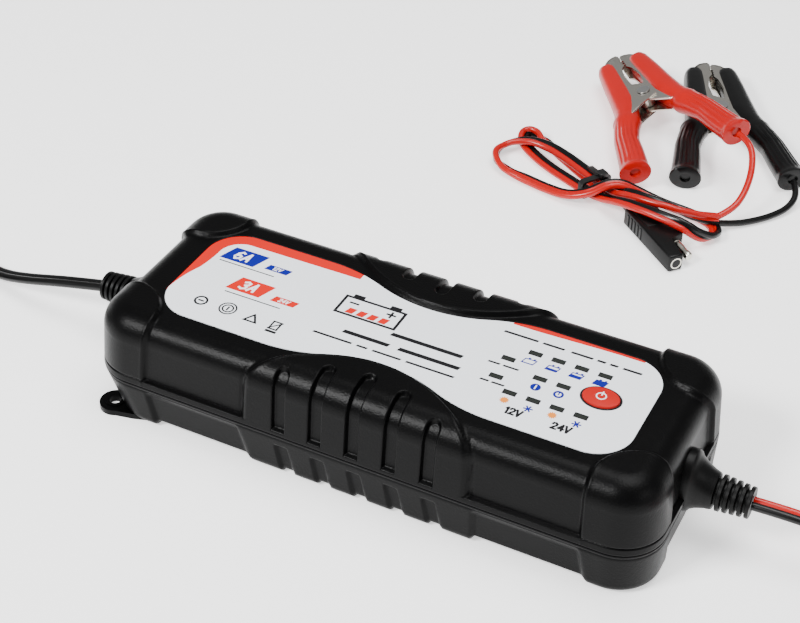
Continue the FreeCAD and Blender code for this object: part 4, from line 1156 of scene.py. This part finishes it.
def boot(name, slot, node, body, place, mirrored):
    """Soft sleeve of one arm: smooth over the jaw, a bead, then a fluted handle."""
    bm = bmesh.new()
    count = 72
    rings = []
    for number, (x, y, half_w, half_t, square) in enumerate(BOOT):
        ax, ay = BOOT[max(number - 1, 0)][:2]
        bx, by = BOOT[min(number + 1, len(BOOT) - 1)][:2]
        if number >= len(BOOT) - 3:
            ax, ay, bx, by = -23.0, -50.0, -24.2, -56.0
        along = Vector((bx - ax, by - ay, 0)).normalized()
        across = Vector((-along.y, along.x, 0))
        ring = []
        power = square / 0.5
        for n in range(count):
            a = 2 * math.pi * n / count
            c, s = math.cos(a), math.sin(a)
            u = math.copysign(abs(c) ** (1 / power), c) * half_w
            v = math.copysign(abs(s) ** (1 / power), s) * half_t
            flute = 0.0
            if -53.0 < y < -18.8:
                deep = 0.55 * smooth((-18.8 - y) / 3.0) * smooth((y + 53.6) / 2.5)
                for at in (-0.62, -0.31, 0.0, 0.31, 0.62):
                    flute = max(flute, deep * hump((c - at) / 0.085) * smooth((abs(s) - 0.5) / 0.2))
            v -= math.copysign(flute, v)
            p = Vector((x, y, 0)) + across * u + Vector((0, 0, v))
            ring.append((-p.x if mirrored else p.x, p.y, p.z))
        rings.append(ring)
    dense = [rings[0]]
    for number in range(1, len(rings)):
        y0, y1 = BOOT[number - 1][1], BOOT[number][1]
        cuts = max(1, int(abs(y1 - y0) / 1.6))
        for k in range(1, cuts + 1):
            t = k / cuts
            pairs = zip(rings[number - 1], rings[number])
            dense.append([tuple(p + (q - p) * t for p, q in zip(a, b)) for a, b in pairs])
    skin(bm, dense)
    moved(bm, place)
    return finish(name, bm, slot, body=body, replaced=[node], sharp=42)


JAW_EDGE = [
    (-15.4, -16.4), (-12.4, 0.0), (-10.2, 20.0), (-9.3, 33.0), (-7.0, 36.8),
    (-5.2, 38.8), (-3.0, 39.8), (-0.9, 40.0),
]


def jaw(name, node, body, place, half, reach, mirrored):
    """Stamped arm in its sleeve: a bridge and two toothed flanges that reach past the clamp's middle."""
    flange = [
        (-0.2, 39.0), (-0.2, 35.2), (-1.4, 34.2), (-0.2, 33.2), (-1.4, 32.2), (-0.2, 31.2), (-1.4, 30.2),
        (-0.2, 29.2), (-2.4, 26.0), (-3.8, 18.0), (-3.0, 9.0), (reach, 5.5), (reach, -5.5),
        (-4.0, -10.0), (-11.0, -15.0), *JAW_EDGE,
    ]
    bm = bmesh.new()
    prism(bm, flange, half - 0.9, half, 0.15)
    prism(bm, flange, -half, 0.9 - half, 0.15)
    prism(bm, stroke(JAW_EDGE, 0.9), -half, half, 0.12)
    if mirrored:
        moved(bm, Matrix.Scale(-1, 4, (1, 0, 0)))
    moved(bm, place)
    return finish(name, bm, "clamp_steel", body=body, replaced=[node], sharp=35)


def clamps():
    red = shift(*on_floor(7.6, 47.2, 12.7)) @ turn("Z", 38) @ turn("X", -5) @ turn("Y", -19)
    black = shift(*on_floor(43.6, 46.6, 5.7)) @ turn("Z", 26.5)
    for colour, place in (("red", red), ("black", black)):
        node, arm = f"{colour}_clamp", f"{colour}_clamp_arm"
        boot(f"{colour}_moving_sleeve", f"boot_{colour}", node + "_moving_boot", arm, place, False)
        boot(f"{colour}_fixed_sleeve", f"boot_{colour}", node + "_fixed_boot", "charger", place, True)
        jaw(f"{colour}_moving_steel", node + "_moving_jaw", arm, place, 4.7, 4.2, False)
        jaw(f"{colour}_fixed_steel", node + "_fixed_jaw", "charger", place, 3.7, 2.4, True)


# ---- build ----
upper_housing()
lower_housing()
ears()
label_sheet()
label_print()
mode_key()
strain_relief("mains_relief", -1, 130.0, "mains_strain_relief")
strain_relief("dc_relief", 1, 131.0, "dc_strain_relief")

cord, line = mains_cord()
plug_body, plug_pair = plug()
coil_at = shift(-248.0, -20.0, 0) @ turn("Z", 200) @ shift(35.0, 0, 0)
mains_tie = band("mains_tie", coil_at @ turn("Z", 90), 6.6, 0.0, 14.6, 5.0, "mains_cord_tie")

cord, line = dc_lead()
dc_body, dc_metal = quick_connector("dc_plug", shift(210.0, -8.0, 13.8) @ turn("Z", -18), "dc_connector")
ring_at = shift(232.0, -14.0, 0) @ turn("Z", -50) @ shift(33.0, 0, 0)
dc_tie = band("dc_tie", ring_at @ turn("Z", 90), 6.6, 0.0, 10.6, 5.0, "dc_lead_tie")

cord, line = clamp_lead()
rear = on_floor(-3.8, -34.4, 4.0)
lead_body, lead_metal = quick_connector("lead_plug", shift(*rear) @ turn("Z", -40.5), "clamp_lead_connector")
tie_at = on_floor(-21.0, -15.0, 0.0)
lead_tie = band("lead_tie", shift(*tie_at) @ turn("Z", -32), 8.0, 0.0, 8.8, 3.2, "clamp_lead_tie", tail=9.0)

RED_PLAN = [
    (30.4, -40.9, 6.8), (37.0, -37.4, 8.2), (42.2, -31.4, 12.2), (45.6, -24.2, 18.0), (46.6, -16.6, 23.8),
    (44.8, -10.4, 26.5), (42.1, -4.2, 25.7),
]
BLACK_PLAN = [
    (30.4, -42.0, 3.9), (38.4, -39.8, 2.2), (46.6, -36.8, 1.8), (55.6, -32.6, 1.8), (64.0, -26.6, 2.4),
    (68.9, -18.6, 4.6), (68.4, -10.6, 5.7),
]
red_core = core("red_core_line", "red_core", RED_PLAN, "clamp_lead_red_core")
black_core = core("black_core_line", "black_core", BLACK_PLAN, "clamp_lead_black_core")
clamps()

# ---- CAD nodes take their slot's finish ----
for entry in frame["record"]["subparts"]:
    for obj in bpy.context.scene.objects:
        if obj.type == "MESH" and obj.name == entry["node"]:
            obj.data.materials.clear()
            obj.data.materials.append(FINISHES[entry["material_slot"]])

# ---- camera, floor and light ----
camera_data = bpy.data.cameras.new("camera")
camera_data.lens = 76.5
camera_data.sensor_width = 36.0
camera_data.clip_start = 0.01
camera = bpy.data.objects.new("camera", camera_data)
right = Vector((0.89410, 0.44743, 0.01969))
down = Vector((0.28785, -0.54042, -0.79062))
ahead = Vector((-0.34311, 0.71257, -0.61199))
camera.matrix_world = Matrix((
    (right.x, -down.x, -ahead.x, 0.2028),
    (right.y, -down.y, -ahead.y, -0.4274),
    (right.z, -down.z, -ahead.z, 0.4212),
    (0, 0, 0, 1),
))
bpy.context.scene.collection.objects.link(camera)
bpy.context.scene.camera = camera

floor_mesh = bpy.data.meshes.new("floor")
floor_mesh.from_pydata([(x, y, -0.0002) for x, y in rectangle(0, 0, 4, 4)], [], [(0, 1, 2, 3)])
floor = bpy.data.objects.new("floor", floor_mesh)
floor_paint = surface("floor_paint", (0.95, 0.95, 0.95), 0.85, grain=300, depth=0.01, patch=0.005, spec=0.1)
floor_shader = floor_paint.node_tree.nodes["Principled BSDF"]
floor_shader.inputs["Emission Color"].default_value = (1, 1, 1, 1)
floor_shader.inputs["Emission Strength"].default_value = 0.9
floor_mesh.materials.append(floor_paint)
bpy.context.scene.collection.objects.link(floor)


def lamp(name, place, aim, size, power, tall=None):
    data = bpy.data.lights.new(name, "AREA")
    data.shape = "RECTANGLE"
    data.size = size
    data.size_y = tall or size
    data.energy = power
    obj = bpy.data.objects.new(name, data)
    obj.location = place
    obj.rotation_euler = (Vector(aim) - Vector(place)).to_track_quat("-Z", "Y").to_euler()
    bpy.context.scene.collection.objects.link(obj)
    return obj


lamps = [
    lamp("top_light", (0.15, 0.2, 1.2), (0, 0.05, 0), 0.9, 15.0, 0.7),
    lamp("front_light", (-0.5, -0.85, 0.95), (0, 0, 0.02), 0.42, 27.0, 0.3),
    lamp("right_light", (1.1, -0.2, 0.6), (0, 0, 0.02), 0.5, 2.0, 0.4),
]
world = bpy.data.worlds.new("studio")
world.use_nodes = True
world.node_tree.nodes["Background"].inputs["Color"].default_value = (1, 1, 1, 1)
world.node_tree.nodes["Background"].inputs["Strength"].default_value = 0.36
bpy.context.scene.world = world
